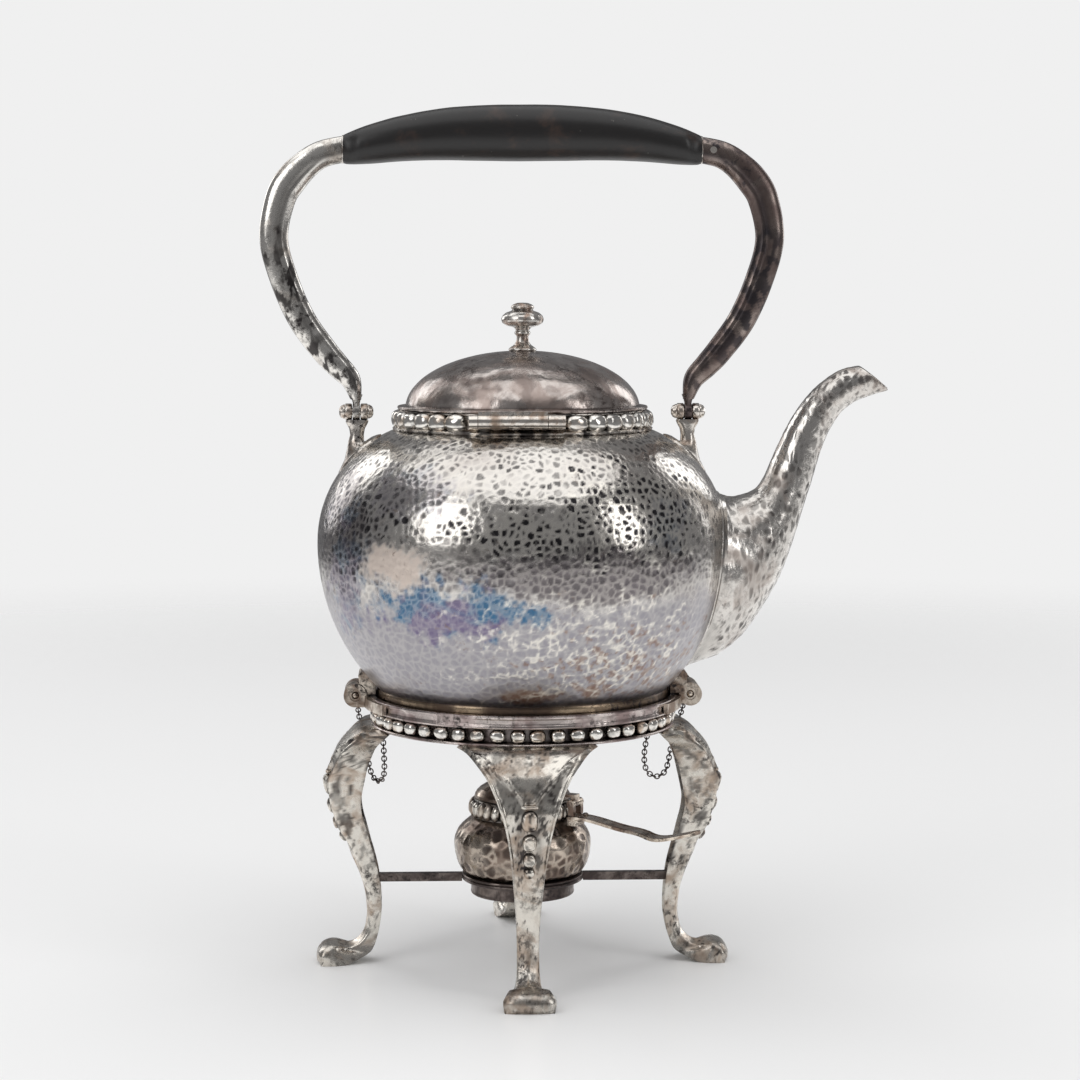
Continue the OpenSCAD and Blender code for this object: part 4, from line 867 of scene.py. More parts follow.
def make_arm(name, mirror, material, seed):
    columns = 56
    line = resample(spline(ARM_LINE, 12), 0.85)
    way = np.gradient(line[:, :2], axis=0)
    way[0] = (0, 1)
    way[-1] = (-1, 0)
    way /= np.linalg.norm(way, axis=1, keepdims=True)
    normal = np.stack([way[:, 1], -way[:, 0]], axis=1)
    rows, blotch = [], []
    count = len(line)
    length = np.arange(count) / (count - 1)
    for i in range(count):
        seam = smooth(length[i], 0.05, 0.2) * (1 - smooth(length[i], 0.86, 0.94))
        t, d = arm_section(line[i, 2], line[i, 3], columns, float(seam))
        ring = np.stack([line[i, 0] + normal[i, 0] * t, d, line[i, 1] + normal[i, 1] * t], axis=1)
        rows.append(ring)
        blotch.append(t / line[i, 2])
    # Round plugs close both ends
    first, last = rows[0], rows[-1]
    top = np.mean(last, axis=0)
    rows = [first * 0.02 + np.mean(first, axis=0) * 0.98] + rows
    rows += [last * keep + top * (1 - keep) + np.array([-0.12, 0, 0]) for keep in (0.985, 0.02)]
    blotch = [blotch[0]] + blotch + [blotch[-1], blotch[-1]]
    verts = np.concatenate(rows)
    across = np.concatenate(blotch)
    faces = grid_faces(len(rows), columns)
    normals = vertex_normals(verts, faces)
    verts = verts + normals * ((blobs(verts, 11, seed) - 0.5) * 0.05)[:, None]
    z = verts[:, 2]
    lower = 1 - smooth(z, 292, 304)
    streaks = blobs(verts * np.array([1.6, 1.6, 0.75]), 8, seed + 1)
    ragged = smooth(streaks + 0.25 * (1 - np.abs(across + 0.2)), 0.56, 0.70)
    inner = np.exp(-((across + 0.25) / 0.28) ** 2)
    stain = np.clip(lower * ragged * 0.95 + 0.75 * inner * smooth(z, 240, 300) * (1 - 0.4 * lower), 0, 1)
    if mirror:
        verts, faces = mirrored(verts, faces)
    piece(name, verts, faces, "handle", material, masks={"dent": stain}, sharp=60)


KNUCKLE_HALF = 1.45
SOCKET_Z = 207.4
# Rows of a socket: height along the neck, half widths in x and y, and the power that squares the outline
SOCKET_ROWS = ((13.6, 4.5, 2.4, 0.55), (12.9, 4.65, 2.6, 0.6), (11.6, 4.1, 2.6, 0.8), (10.0, 3.2, 2.5, 0.95),
               (7.5, 2.8, 2.5, 1.0), (5.0, 3.2, 2.8, 1.0), (3.2, 4.2, 3.5, 1.0), (1.9, 5.8, 4.6, 1.0),
               (1.1, 7.4, 5.6, 1.0), (0.55, 8.6, 6.3, 1.0), (-0.8, 9.0, 6.6, 1.0))


def barrel(bore, shoulder, radius, first, last, edge):
    """A round knuckle on the handle's pivot, from first to last along x, with its edges cut off."""
    steps = 40
    profile = np.array([[bore, first], [shoulder, first], [radius, first + edge], [radius, last - edge],
                        [shoulder, last], [bore, last]])
    angles = circle(steps)
    verts = np.stack([profile[:, 1][:, None] + 0 * angles + HANDLE_X, profile[:, 0][:, None] * np.cos(angles),
                      HANDLE_Z + profile[:, 0][:, None] * np.sin(angles)], axis=-1).reshape(-1, 3)
    return verts, grid_faces(len(profile), steps, close=True)


def make_arm_knuckle(name, node, mirror, material):
    """The arm's own knuckle on its pin, with the short shank above it."""
    columns = 24
    a = circle(columns)
    shank = [np.stack([HANDLE_X + w * bent(np.cos(a), 0.7), d * bent(np.sin(a), 0.7),
                       np.full(columns, HANDLE_Z + lift)], axis=1)
             for lift, w, d in ((2.2, 1.4, 2.3), (3.6, 1.45, 2.45), (5.2, 1.9, 2.9), (7.0, 2.6, 3.3))]
    verts, faces = merge([barrel(1.62, 3.15, 3.3, -KNUCKLE_HALF, KNUCKLE_HALF, 0.2),
                          (np.concatenate(shank), grid_faces(len(shank), columns))])
    if mirror:
        verts, faces = mirrored(verts, faces)
    piece(name, verts, faces, "handle", material, replaces=(node,),
          masks={"dent": np.clip(0.35 + 0.5 * blobs(verts, 4, 105), 0, 1)}, sharp=45)


def make_socket(name, node, mirror, material):
    """Two round knuckles on a neck that flares out into a leaf on the shoulder."""
    near_end, far_end = KNUCKLE_HALF + 0.3, KNUCKLE_HALF + 3.2
    ends = ((near_end, far_end), (-far_end, -near_end))
    parts = [barrel(1.5, 3.0, 3.35, first, last, 0.3) for first, last in ends]
    dents = [0.3 * blobs(verts, 3, 131) for verts, _ in parts]
    columns = 48
    a = circle(columns)
    rows = []
    for lift, wx, wy, power in SOCKET_ROWS:
        lean = 0.3 if lift > 5 else 1.6 * (1 - max(lift, 0) / 5)
        x = HANDLE_X - lean + wx * bent(np.cos(a), power)
        y = wy * bent(np.sin(a), power)
        if lift > 4:
            z = np.full(columns, SOCKET_Z + lift)
        else:
            r = np.minimum(np.hypot(x, y), BODY_R - 0.5)
            on_body = BELLY_Z + np.sqrt(np.maximum(SHOULDER_R ** 2 - (r - (BODY_R - SHOULDER_R)) ** 2, 1.0))
            t = smooth(lift, 1.5, 4.0)
            z = on_body * (1 - t) + SOCKET_Z * t + lift
        rows.append(np.stack([x, y, z], axis=1))
    rows = [rows[0] * 0.03 + rows[0].mean(axis=0) * 0.97] + rows
    verts = np.concatenate(rows)
    parts.append((verts, flipped(grid_faces(len(rows), columns))))
    root_dirt = 0.7 * smooth(-verts[:, 2], -214, -208) * blobs(verts, 6, 133)
    dents.append(np.clip(root_dirt + 0.25 * blobs(verts, 3, 135), 0, 1))
    verts, faces = merge(parts)
    if mirror:
        verts, faces = mirrored(verts, faces)
    piece(name, verts, faces, "kettle", material, replaces=(node,),
          masks={"dent": np.concatenate(dents)},
          sharp=50)


def make_grip():
    columns = 96
    table = np.array([[p[0] * GRIP_LEN / 2, p[1], p[2]] for p in GRIP_LINE])
    line = resample(spline(table, 16), 0.9)
    half = GRIP_LEN / 2
    a = circle(columns)
    rows = []
    for x, upper, lower in line:
        m, h = (upper + lower) / 2, (upper - lower) / 2
        d = GRIP_DEPTH / 2 * math.sqrt(max(0.3, 1 - 0.7 * (x / half) ** 4))
        # A touch squarer than an ellipse, with a slight keel along the top
        y = d * bent(np.cos(a), 0.9)
        z = h * bent(np.sin(a), 0.97)
        rows.append(np.stack([np.full(columns, x), y, m + z], axis=1))
    # The wood is trimmed to the arm's end at each side
    for i, x in enumerate(line[:, 0]):
        t = smooth(abs(x), half - 7.0, half - 0.1)
        scale = 1 - t * (1 - GRIP_END / max(np.abs(rows[i][:, 1]).max(), GRIP_END))
        rows[i][:, 1] *= scale
    tenon = []
    for side in (-1, 1):
        centre = np.array([side * half, 0, TENON_Z])
        disc = np.stack([np.zeros(columns), 3.3 * np.cos(a), 3.3 * np.sin(a)], axis=1)
        outward = np.array([side * 8, 0, 0])
        tenon.append([centre + disc, centre + disc + outward, centre + disc * 0.02 + outward])
    rows = tenon[0][::-1] + rows + tenon[1]
    verts = np.concatenate(rows)
    verts[:, 2] += (blobs(verts, 40, 107) - 0.5) * 0.25
    faces = flipped(grid_faces(len(rows), columns))
    piece("grip_ebony", verts, faces, "handle", MATERIALS["ebony"], replaces=("grip",), sharp=50)


def ferrule(name, mirror, material):
    """The bright line where an arm's end meets the wood."""
    columns = 48
    rows = []
    for dx, grow in ((0.35, -0.1), (0.42, 0.12), (0.0, 0.32), (-0.42, 0.12), (-0.35, -0.1)):
        t, d = arm_section(5.65 + grow, 4.35 + grow, columns, 0.0)
        rows.append(np.stack([np.full(columns, GRIP_LEN / 2 + dx), d, TENON_Z + t], axis=1))
    verts = np.concatenate(rows)
    faces = grid_faces(len(rows), columns)
    if mirror:
        verts, faces = mirrored(verts, faces)
    piece(name, verts, faces, "handle", material, masks={"dent": 0.4 * blobs(verts, 3, 109)})


# CAD pieces that are already the shape they should be: round their edges a little and dress them

def dress(node, material, width=0.00025):
    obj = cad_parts[node]
    sharp = math.radians(32)
    obj.data.materials.clear()
    obj.data.materials.append(material)
    for poly in obj.data.polygons:
        poly.use_smooth = True
    obj.data.set_sharp_from_angle(angle=sharp)
    if width:
        bevel = obj.modifiers.new("soft_edges", "BEVEL")
        bevel.width = width
        bevel.segments = 2
        bevel.limit_method = "ANGLE"
        bevel.angle_limit = sharp


# Stand ring: rounded rim, a beaded recess and a flange

def make_ring():
    profile = fillet([[56.6, 97.2], [61.5, 97.2], [61.9, 97.7], [61.5, 98.3], [58.2, 98.6], [58.0, 99.2],
                      [58.0, 103.4], [58.3, 104.0], [62.7, 104.1], [63.15, 104.7], [63.0, 105.4],
                      [62.6, 106.0],
                      [62.7, 107.6], [63.2, 108.3], [63.25, 109.1], [62.8, 109.4], [60.5, 109.4],
                      [60.4, 105.7],
                      [56.7, 105.6], [56.6, 97.2]], 0.3)
    verts, faces = lathe(profile, 360)
    r = np.hypot(verts[:, 0], verts[:, 1])
    z = verts[:, 2]
    recess = smooth(-r, -61.2, -60.0) * smooth(z, 97.9, 98.6) * smooth(-z, -104.6, -103.8)
    pocket = smooth(-r, -60.9, -60.4) * smooth(z, 105.0, 106.0)
    streak = smooth(blobs(verts * np.array([1, 1, 3.0]), 16, 111), 0.50, 0.66) * 0.45
    piece("stand_ring_section", verts, faces, "stand", MATERIALS["ring"],
          replaces=("stand_ring",),
          masks={"dent": np.clip(np.maximum(recess * 0.95, pocket * 0.9) + streak, 0, 1)}, sharp=50)


def make_ring_beads():
    rng = np.random.default_rng(113)
    parts, dents = [], []
    for i in range(48):
        out, side = spoke(math.radians(360 * (i + 0.5) / 48) + rng.uniform(-0.004, 0.004))
        sizes = [3.1, 3.1 * rng.uniform(0.93, 1.05), 2.55]
        v, f, unit = bead(out * 59.4, [out, side, [0, 0, 1]], sizes, rng, 0.04, seed=i, power=2.7)
        v[:, 2] += 101.15
        parts.append((v, f))
        root = 1 - smooth(unit[:, 0], 0.12, 0.5)
        spot = smooth(blobs(v, 4, 115), 0.58, 0.70) * 0.6
        dents.append(np.clip(root + spot, 0, 1))
    verts, faces = merge(parts)
    piece("ring_bead_string", verts, faces, "stand", MATERIALS["beads"],
          replaces=("ring_beads",),
          masks={"dent": np.concatenate(dents)})


# Legs: a flared top with two ribs that meet at a point, beads down the middle, and a bun toe

LEG_STATIONS = np.array([
    [61.6, 97.2, 59.4, 97.2, 27.5], [67.2, 96.3, 60.2, 94.6, 24.3], [71.2, 92.7, 62.2, 90.8, 20.5],
    [75.3, 87.7, 62.7, 87.5, 16.5], [78.3, 80.3, 64.2, 81, 12.9], [80.3, 75, 65.2, 75, 11],
    [79.5, 70, 66, 70, 9.6],
    [78.7, 65, 66.5, 65, 8.5], [77.1, 60, 65.7, 60, 7.7], [75.5, 55, 64.2, 55, 7],
    [71.9, 48.6, 62.4, 48.6, 6.3],
    [69, 42, 60.4, 42, 5.75], [66.4, 36, 59, 36, 5.2], [64.2, 28.9, 58.1, 28.9, 4.7],
    [63.1, 21, 57.8, 21, 4.4],
    [63.6, 15.8, 58.4, 15.8, 4.35], [64.8, 12, 59.3, 11.5, 4.45], [67.5, 8.8, 60.6, 7.5, 4.8],
    [71, 7.4, 62.5, 4.6, 5.6],
    [74, 8, 67, 2.2, 7.2], [78, 8.4, 72, 0.3, 8.8], [82, 7, 76, 0.0, 9.9], [84, 4.2, 80, 0, 10.2],
    [83.9, 1.4, 82.6, 0, 9.9]])
LEG_BEADS = [(72.2, 4.3, 3.25), (63.7, 3.25, 2.85), (56.8, 2.75, 2.45), (51.4, 2.35, 2.1)]


LEG_ACROSS = 45
LEG_SIDE = 7


def leg_outer_at(z, table):
    order = np.argsort(table[:, 1])
    return np.interp(z, table[order, 1], table[order, 0])


def leg_section(station, out, toe):
    """One section of a leg: its points all round, and how dark each is. The front is cast in low relief."""
    ro, zo, ri, zi, half = station
    u = np.linspace(-1, 1, LEG_ACROSS)
    y = u * half
    flare = smooth(zo, 77.2, 78.6)
    panel = np.interp(zo, [78.3, 82, 87, 93.5, 97.2], [1.6, 4.4, 9.3, 17.5, 24.5])
    rib = np.exp(-((np.abs(y) - panel) / 0.75) ** 2) * flare
    inside = (1 - smooth(np.abs(y), panel - 0.5, panel + 0.5)) * flare
    edge = smooth(np.abs(u), 0.80, 0.93)
    gutter = (1 - inside) * (1 - edge) * smooth(zo, 44, 56) * (1 - toe)
    belly = 0.5 * (1 - (y / max(panel, 0.5)) ** 2) * inside
    spine = 0.55 * np.exp(-(u / 0.35) ** 2) * (1 - smooth(zo, 20, 40)) * (1 - toe)
    lobe = 0.35 * np.exp(-((np.abs(u) - 0.5) / 0.3) ** 2) * (1 - smooth(zo, 44, 54)) * smooth(zo, 14, 22)
    height = 0.95 * rib + belly + 0.15 * inside - 0.95 * gutter + spine + lobe
    height -= 0.9 * smooth(np.abs(u), 0.90, 1.0) ** 2 + (1.1 * u ** 2) * (1 - smooth(zo, 44, 60)) * (1 - toe)
    height -= toe * (1.9 * u ** 4)
    r = ro + out[0] * height
    outer = np.stack([np.sqrt(np.maximum(r ** 2 - y ** 2, 1)), y, zo + out[1] * height], axis=1)
    # Back of the section: a channel above the ankle, solid below it
    deep = np.maximum(smooth(np.abs(u), 0.78, 0.90), 1 - smooth(zo, 11, 15))[::-1]
    back = u[::-1]
    yb = back * half * (1 - 0.04 * smooth(np.abs(back), 0.9, 1))
    thin_r = ro - 1.7 * abs(out[0]) - 0.6
    thin_z = zo - 1.5 * out[1]
    rb = thin_r + (ri - thin_r) * deep
    zb = thin_z + (zi - thin_z) * deep
    inner = np.stack([np.sqrt(np.maximum(rb ** 2 - yb ** 2, 1)), yb, np.maximum(zb, 0)], axis=1)
    t = np.linspace(0, 1, LEG_SIDE + 2)[1:-1, None]
    sides = [a * (1 - t) + b * t for a, b in ((outer[-1], inner[0]), (inner[-1], outer[0]))]
    under = np.exp(-((np.abs(y) - 3.6) / 1.3) ** 2) * smooth(zo, 47, 54) * (1 - flare)
    tips = np.exp(-(u / 0.5) ** 2) * inside * smooth(-zo, -86, -79)
    dent = np.clip(0.95 * gutter * (0.35 + 0.65 * flare) + 0.8 * under + 0.55 * toe + 0.5 * tips, 0, 1)
    clear = np.full(LEG_SIDE, 0.15)
    return (np.concatenate([outer, sides[0], inner, sides[1]]),
            np.concatenate([dent, clear, np.full(LEG_ACROSS, 0.55), clear]))


def leg_beads(table, seed):
    """Graduated beads down the front and the small bar above them, with how dark each is."""
    rng = np.random.default_rng(seed)
    parts, dents = [], []
    for z, tall, wide in LEG_BEADS:
        slope = leg_outer_at(z + 1, table) - leg_outer_at(z - 1, table)
        up = np.array([slope, 0, 2.0]) / math.hypot(slope, 2)
        face = np.array([up[2], 0, -up[0]])
        v, f, unit = bead(np.array([leg_outer_at(z, table) - 0.9, 0, z]), [face, [0, 1, 0], up],
                          [2.3, wide, tall],
                          rng, 0.05, seed=int(z), power=2.5)
        parts.append((v, f))
        spots = smooth(blobs(v, 3, seed + 2), 0.56, 0.66)
        dents.append(np.clip((1 - smooth(unit[:, 0], 0.3, 0.62)) + spots, 0, 1))
    v, f, _ = bead(np.array([leg_outer_at(77.4, table) - 0.1, 0, 77.5]), np.eye(3), [1.0, 3.3, 0.75], rng,
                   0.05,
                   seed=3, power=3.0)
    parts.append((v, f))
    dents.append(0.3 * blobs(v, 2, seed + 3))
    return parts, dents


def make_leg(name, node, degrees, seed):
    table = resample(spline(LEG_STATIONS, 10), 0.8)
    count = len(table)
    way = np.gradient(table[:, :2], axis=0)
    way /= np.maximum(np.linalg.norm(way, axis=1, keepdims=True), 1e-6)
    out = np.stack([-way[:, 1], way[:, 0]], axis=1)
    sections = [leg_section(table[i], out[i], smooth(i / count, 0.86, 0.9)) for i in range(count)]
    verts = np.concatenate([points for points, _ in sections])
    verts[:, 2] = np.maximum(verts[:, 2], 0)
    dent = np.concatenate([dark for _, dark in sections])
    columns = 2 * (LEG_ACROSS + LEG_SIDE)
    faces = flipped(grid_faces(count, columns))
    faces += end_caps(count, columns, LEG_ACROSS, columns - LEG_SIDE - 1)
    streaky = blobs(verts * np.array([1.5, 1.5, 0.55]), 7, seed)
    fine = blobs(verts * np.array([1.3, 1.3, 0.7]), 2.6, seed + 1)
    wear = smooth(0.5 * streaky + 0.5 * fine, 0.46, 0.60)
    blotches = 0.65 * smooth(streaky * 0.6 + fine * 0.4, 0.55, 0.64) * smooth(verts[:, 2], 30, 50)
    dent = np.clip(dent * (0.55 + 0.45 * wear) + blotches, 0, 1)
    dent = np.maximum(dent, 0.9 * smooth(fine, 0.66, 0.72) * smooth(streaky, 0.4, 0.6))
    beads, bead_dents = leg_beads(table, seed)
    verts, faces = merge([(verts, faces)] + beads)
    piece(name, turned(verts, math.radians(degrees)), faces, "stand", MATERIALS["leg"],
          replaces=(node,), masks={"dent": np.concatenate([dent] + bead_dents)}, sharp=62)


# Burner: hammered font, bead collar, strap and snuffer

FONT_R = 28.0
FONT_Z = 48.6
FONT_TOP = 59.0
FONT_BOTTOM = 36.1


def make_font():
    low = FONT_Z - FONT_BOTTOM
    high = FONT_TOP - FONT_Z
    top_a = math.acos(20.0 / FONT_R)
    a = np.radians(np.linspace(-90, 0, 60))
    b = np.linspace(0, top_a, 40)[1:]
    skin = np.concatenate([np.stack([22 + 6 * np.cos(a), FONT_Z + low * np.sin(a)], axis=1),
                           np.stack([FONT_R * np.cos(b), FONT_Z + high * np.sin(b) / math.sin(top_a)],
                                    axis=1)])
    skin = resample(skin, 0.5)
    outer = np.concatenate([[[r, FONT_BOTTOM] for r in (0.01, 8, 16, 20)], skin[2:],
                            [[r, FONT_TOP] for r in (14, 8, 4.4)], [[4.4, FONT_TOP - 1]]])
    steps = 300
    verts, faces = lathe(outer, steps)
    moved, dent, ridge, _ = hammered(verts, faces, 4.2, 117, 0.34, width=0.2)
    side = smooth(np.hypot(verts[:, 0], verts[:, 1]), 20.5, 23.0)
    verts = verts + (moved - verts) * side[:, None]
    low_band = smooth(-verts[:, 2], -56, -50)
    glint = np.clip(ridge * (0.25 + 0.9 * low_band * smooth(blobs(verts, 10, 119), 0.38, 0.58)), 0, 1)
    dark = np.clip(0.45 + 0.4 * dent * blobs(verts, 14, 121) - glint, 0, 1)
    piece("burner_font_hammered", verts, faces, "burner", MATERIALS["burner"],
          replaces=("burner_font",), masks={"dent": dark, "ridge": glint * 0.9})


def make_burner_beads():
    rng = np.random.default_rng(123)
    parts, dents = [], []
    count = 32
    lean = math.radians(12)
    upright = np.array([0, 0, 1])
    for i in range(count):
        out, side = spoke(math.radians(360 * i / count))
        up = upright * math.cos(lean) + side * math.sin(lean)
        across = side * math.cos(lean) - upright * math.sin(lean)
        v, f, unit = bead(out * 19.7, [out, across, up], [2.5, 2.0, 3.5], rng, 0.05, rows=14, columns=20,
                          seed=i,
                          power=2.2)
        v[:, 2] += FONT_TOP + 3.7
        parts.append((v, f))
        spots = 0.4 * smooth(blobs(v, 3, 125), 0.5, 0.62)
        dents.append(np.clip(1 - smooth(unit[:, 0], 0.25, 0.7) + spots, 0, 1))
    hoop = [[18.5, 0], [20.2, 0], [20.5, 0.5], [20.1, 1.1], [19.7, 1.4], [19.7, 6.2], [20.0, 6.9],
            [19.4, 7.4],
            [18.5, 7.4], [18.5, 0]]
    v, f = lathe(fillet([[r, FONT_TOP + lift] for r, lift in hoop], 0.2), 120)
    parts.append((v, f))
    dents.append(np.full(len(v), 0.8))
    verts, faces = merge(parts)
    piece("burner_bead_collar", verts, faces, "burner", MATERIALS["leg"],
          replaces=("burner_beads",),
          masks={"dent": np.concatenate(dents)})


def make_holder():
    profile = fillet([[19.4, 27.7], [20.9, 27.7], [21.2, 28.3], [21.0, 29.0], [21.0, 32.6], [23.6, 33.0],
                      [24.8, 33.6],
                      [24.9, 34.4], [24.2, 34.7], [24.9, 35.1], [24.6, 35.8], [19.4, 35.8], [19.4, 27.7]],
                      0.3)
    verts, faces = lathe(profile, 160)
    piece("burner_holder_ring", verts, faces, "stand", MATERIALS["dark"],
          replaces=("burner_holder",),
          masks={"dent": np.clip(0.3 + 0.6 * blobs(verts, 7, 127), 0, 1)}, sharp=50)


def make_strap():
    """The flat strap with raised edges, dark along its middle, and its foot on the burner."""
    line = [[22.7, 61.0], [27, 61.35], [34, 60.7], [45, 58.5], [54.5, 57.6], [60, 55.6], [66, 56.4],
            [79, 60.0]]
    line = resample(soften(line, 3), 0.7)
    way = np.gradient(line, axis=0)
    way /= np.linalg.norm(way, axis=1, keepdims=True)
    across = 17
    u = np.linspace(-1, 1, across)
    rows, dents = [], []
    for (x, z), w in zip(line, way):
        tip = math.sqrt(max(0.05, 1 - smooth(x, 75.5, 79.3) ** 2 * 0.9))
        half = 3.95 * (1 - 0.1 * smooth(x, 60, 79)) * tip
        lift = 0.25 * smooth(np.abs(u), 0.55, 0.8) - 0.3 * smooth(np.abs(u), 0.86, 1.0) - 0.12
        n = np.array([-w[1], w[0]])
        top = np.stack([x + n[0] * lift, u * half, z + n[1] * lift], axis=1)
        low = np.stack([np.full(across, x - n[0] * 1.3), u[::-1] * half * 0.98,
                        np.full(across, z - n[1] * 1.3)], axis=1)
        rows.append(np.concatenate([top, low]))
        dents.append(np.concatenate([0.7 * (1 - smooth(np.abs(u), 0.45, 0.7)), np.full(across, 0.6)]))
    verts = np.concatenate(rows)
    columns = 2 * across
    faces = flipped(grid_faces(len(rows), columns)) + end_caps(len(rows), columns, across, columns - 1)
    foot = []
    for z, grow in ((57.4, 0.25), (58.2, 0.0), (59.9, 0.0), (60.5, 0.2)):
        ring = np.array([[22.7, -1], [22.7, 1], [26.2, 1], [26.2, -1]]) * np.array([1, 3.9])
        foot.append(np.stack([ring[:, 0] + np.sign(ring[:, 0] - 24.4) * grow, ring[:, 1] * (1 + grow * 0.05),
                              np.full(4, z)], axis=1))
    verts, faces = merge([(verts, faces), (np.concatenate(foot), flipped(grid_faces(4, 4)))])
    dent = np.concatenate(dents + [np.full(16, 0.7)])
    dent = np.clip(dent * (0.4 + 0.8 * blobs(verts, 8, 129)), 0, 1)
    piece("burner_strap_handle", turned(verts, math.radians(-30)), faces, "burner",
          MATERIALS["strap"], replaces=("burner_strap",), masks={"dent": dent}, sharp=50)


# Chains: ring links along the same routes, soft from the staple to the pin

CHAIN_LEFT = [[-57.6, 9, 93.85], [-57.2, 9.6, 88], [-56.8, 10.4, 80], [-56.8, 11.4, 75], [-57.6, 13.2, 71.6],
              [-59.8, 16.6, 70.2], [-62, 20, 72], [-63.4, 21.8, 76.4], [-64.6, 22.8, 82], [-66.4, 24, 90],
              [-67.6, 22.5, 97], [-68.2, 18.4, 103.4], [-68.2, 14.3, 107.6]]
CHAIN_RIGHT = [[54.4, 20.6, 93.85], [53, 20.8, 88], [51.8, 21.2, 80.5], [52, 21.6, 75.4], [53.4, 21.9, 72],
               [56.9, 22.4, 70.2], [60.4, 23, 72], [62, 23.8, 76], [63.2, 24.6, 82], [65.2, 25, 90],
               [67.4, 23, 97],
               [68.2, 18.6, 103.4], [68.2, 14.3, 107.6]]
LINK_PITCH = 1.68
WIRE_R = 0.27


def make_chain(name, node, route):
    path = spline(route, 6)
    lengths = np.concatenate([[0], np.cumsum(np.linalg.norm(np.diff(path, axis=0), axis=1))])
    parts = []
    round_steps, wire_steps = 20, 8
    a = circle(round_steps)
    b = circle(wire_steps)
    for i in range(int(lengths[-1] / LINK_PITCH) + 1):
        at = i * LINK_PITCH
        k = min(int(np.searchsorted(lengths, at, side="right")) - 1, len(path) - 2)
        step = path[k + 1] - path[k]
        t = step / np.linalg.norm(step)
        centre = path[k] + t * (at - lengths[k])
        c = np.cross(t, [0, 1, 0])
        side = c / np.linalg.norm(c)
        n = side if i % 2 else np.cross(t, side)
        e = np.cross(n, t)
        # A wire ring, a little longer than wide, so that neighbours meet
        ring = (t[None, :] * np.cos(a)[:, None] * 1.2 + e[None, :] * np.sin(a)[:, None] * 0.98)
        radial = ring / np.linalg.norm(ring, axis=1, keepdims=True)
        across = radial[:, None, :] * np.cos(b)[None, :, None] + n[None, None, :] * np.sin(b)[None, :, None]
        tube = ring[:, None, :] + WIRE_R * across
        parts.append((centre + tube.reshape(-1, 3), grid_faces(round_steps, wire_steps, close=True)))
    verts, faces = merge(parts)
    obj = new_object(name, verts, faces, MATERIALS["dark"], replaces=(node,),
                     masks={"dent": np.full(len(verts), 0.5)})
    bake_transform(obj)


# Floor, light and background

def make_stage():
    mesh = bpy.data.meshes.new("floor")
    size = 6.0
    corners = [(-size, -size, 0), (size, -size, 0), (size, size, 0), (-size, size, 0)]
    mesh.from_pydata(corners, [], [(0, 1, 2, 3)])
    floor = bpy.data.objects.new("floor", mesh)
    bpy.context.scene.collection.objects.link(floor)
    material, tree, shader = new_material("studio_floor")
    shader.inputs["Base Color"].default_value = (0.84, 0.84, 0.84, 1.0)
    shader.inputs["Roughness"].default_value = 0.30
    shader.inputs["Specular IOR Level"].default_value = 0.22
    # The table ends softly, so that it has no edge against the background
    where = place(tree)
    length = tree.nodes.new("ShaderNodeVectorMath")
    length.operation = "LENGTH"
    link(tree, where, length.inputs[0])
    away = ramp(tree, (length, "Value"), 0.75, 1.5)
    opacity = scalar(tree, "SUBTRACT", 1.0, away)
    link(tree, opacity, shader.inputs["Alpha"])
    mesh.materials.append(material)
    for name, place_at, aim, width, height, power in (
            ("key_left", (-1.2, -1.05, 0.95), (-0.02, 0, 0.18), 1.0, 1.3, 5.5),
            ("fill_right", (1.25, -0.8, 0.75), (-0.02, 0, 0.18), 0.4, 1.1, 2.6),
            ("top", (-0.1, -0.1, 1.7), (-0.02, 0, 0.15), 2.8, 2.3, 17.0),
            ("back_left", (-0.9, 1.0, 0.7), (-0.02, 0, 0.2), 0.6, 1.1, 3.0),
            ("back_right", (1.0, 0.9, 0.6), (-0.02, 0, 0.2), 0.6, 1.1, 3.0)):
        data = bpy.data.lights.new(name, "AREA")
        data.shape = "ELLIPSE"
        data.size = width
        data.size_y = height
        data.energy = power
        light = bpy.data.objects.new(name, data)
        light.location = place_at
        light.rotation_euler = (Vector(aim) - Vector(place_at)).to_track_quat("-Z", "Y").to_euler()
        bpy.context.scene.collection.objects.link(light)
    make_world()
    bpy.context.scene.view_settings.view_transform = "Standard"


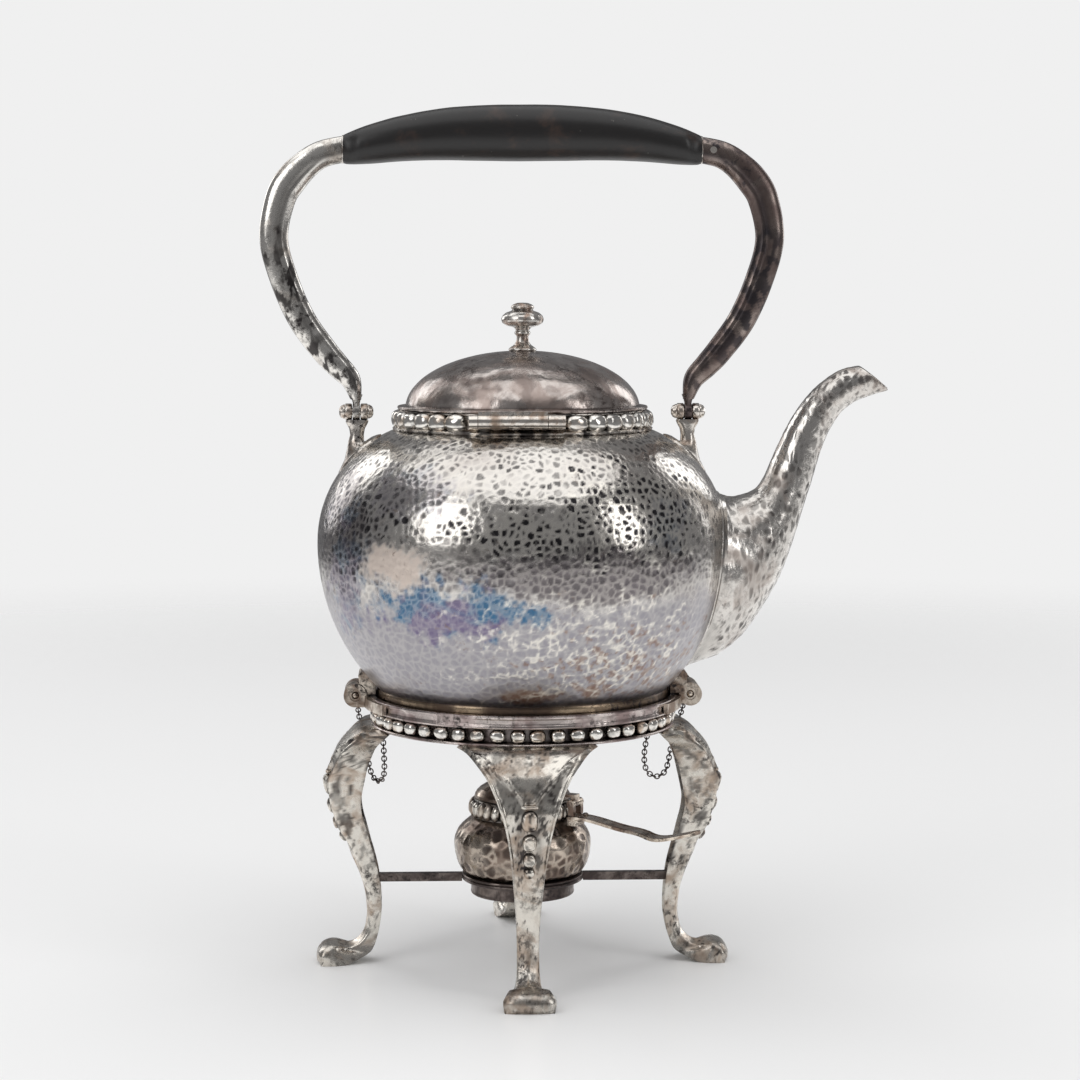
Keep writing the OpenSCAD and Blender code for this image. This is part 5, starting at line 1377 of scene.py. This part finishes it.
def make_world():
    """Pale for the camera, darker in reflections, soft grey for the rest."""
    world = bpy.data.worlds.new("studio")
    bpy.context.scene.world = world
    world.use_nodes = True
    tree = world.node_tree
    tree.nodes.clear()

    def background(colour):
        node = tree.nodes.new("ShaderNodeBackground")
        node.inputs["Color"].default_value = (*colour, 1.0)
        return node, 0

    rays = tree.nodes.new("ShaderNodeLightPath")
    seen = background((0.66, 0.66, 0.66))
    for ray, colour in (("Is Glossy Ray", (0.20, 0.20, 0.205)), ("Is Camera Ray", (0.871, 0.871, 0.871))):
        either = tree.nodes.new("ShaderNodeMixShader")
        for k, source in enumerate(((rays, ray), seen, background(colour))):
            link(tree, source, either.inputs[k])
        seen = (either, 0)
    link(tree, seen, tree.nodes.new("ShaderNodeOutputWorld").inputs["Surface"])


make_camera()
make_body()
make_spout()
make_foot()
make_collar()
make_collar_beads()
make_lid()
make_finial()
make_arm("handle_arm_left_cast", True, MATERIALS["arm_left"], 201)
make_arm("handle_arm_right_cast", False, MATERIALS["arm_right"], 203)
make_arm_knuckle("handle_arm_left_knuckle", "handle_arm_left", True, MATERIALS["arm_left"])
make_arm_knuckle("handle_arm_right_knuckle", "handle_arm_right", False, MATERIALS["arm_right"])
make_socket("handle_socket_left_cast", "handle_socket_left", True, MATERIALS["bright"])
make_socket("handle_socket_right_cast", "handle_socket_right", False, MATERIALS["bright"])
make_grip()
ferrule("ferrule_left", True, MATERIALS["collar"])
ferrule("ferrule_right", False, MATERIALS["collar"])
make_ring()
make_ring_beads()
make_leg("leg_front_cast", "leg_front", -90, 211)
make_leg("leg_right_cast", "leg_right", 0, 221)
make_leg("leg_back_cast", "leg_back", 90, 231)
make_leg("leg_left_cast", "leg_left", 180, 241)
make_font()
make_burner_beads()
make_holder()
make_strap()
make_chain("chain_left_links", "chain_left", CHAIN_LEFT)
make_chain("chain_right_links", "chain_right", CHAIN_RIGHT)

for node, material in (("cross_bars", "dark"), ("stand_lug_left", "lug"), ("stand_lug_right", "lug"),
                       ("chain_staples", "dark"), ("pin_left", "lug"), ("pin_right", "lug"),
                       ("kettle_lug_left", "lug"), ("kettle_lug_right", "lug"),
                       ("handle_pivots", "bright"), ("collar_knuckles", "bright"),
                       ("lid_hinge_pin", "lug"), ("lid_bezel", "collar"), ("lid_hinge_leaf", "bright"),
                       ("finial_nut", "collar"), ("grip_rivets", "bright"), ("burner_foot", "burner"),
                       ("wick_tube", "burner"), ("strap_rivets", "strap"), ("snuffer_ears", "burner"),
                       ("snuffer_pin", "burner"), ("snuffer_cap", "burner"), ("snuffer_lever", "burner"),
                       ("snuffer_knob", "burner")):
    dress(node, MATERIALS[material])
dress("wick", MATERIALS["cotton"], width=0)

make_stage()
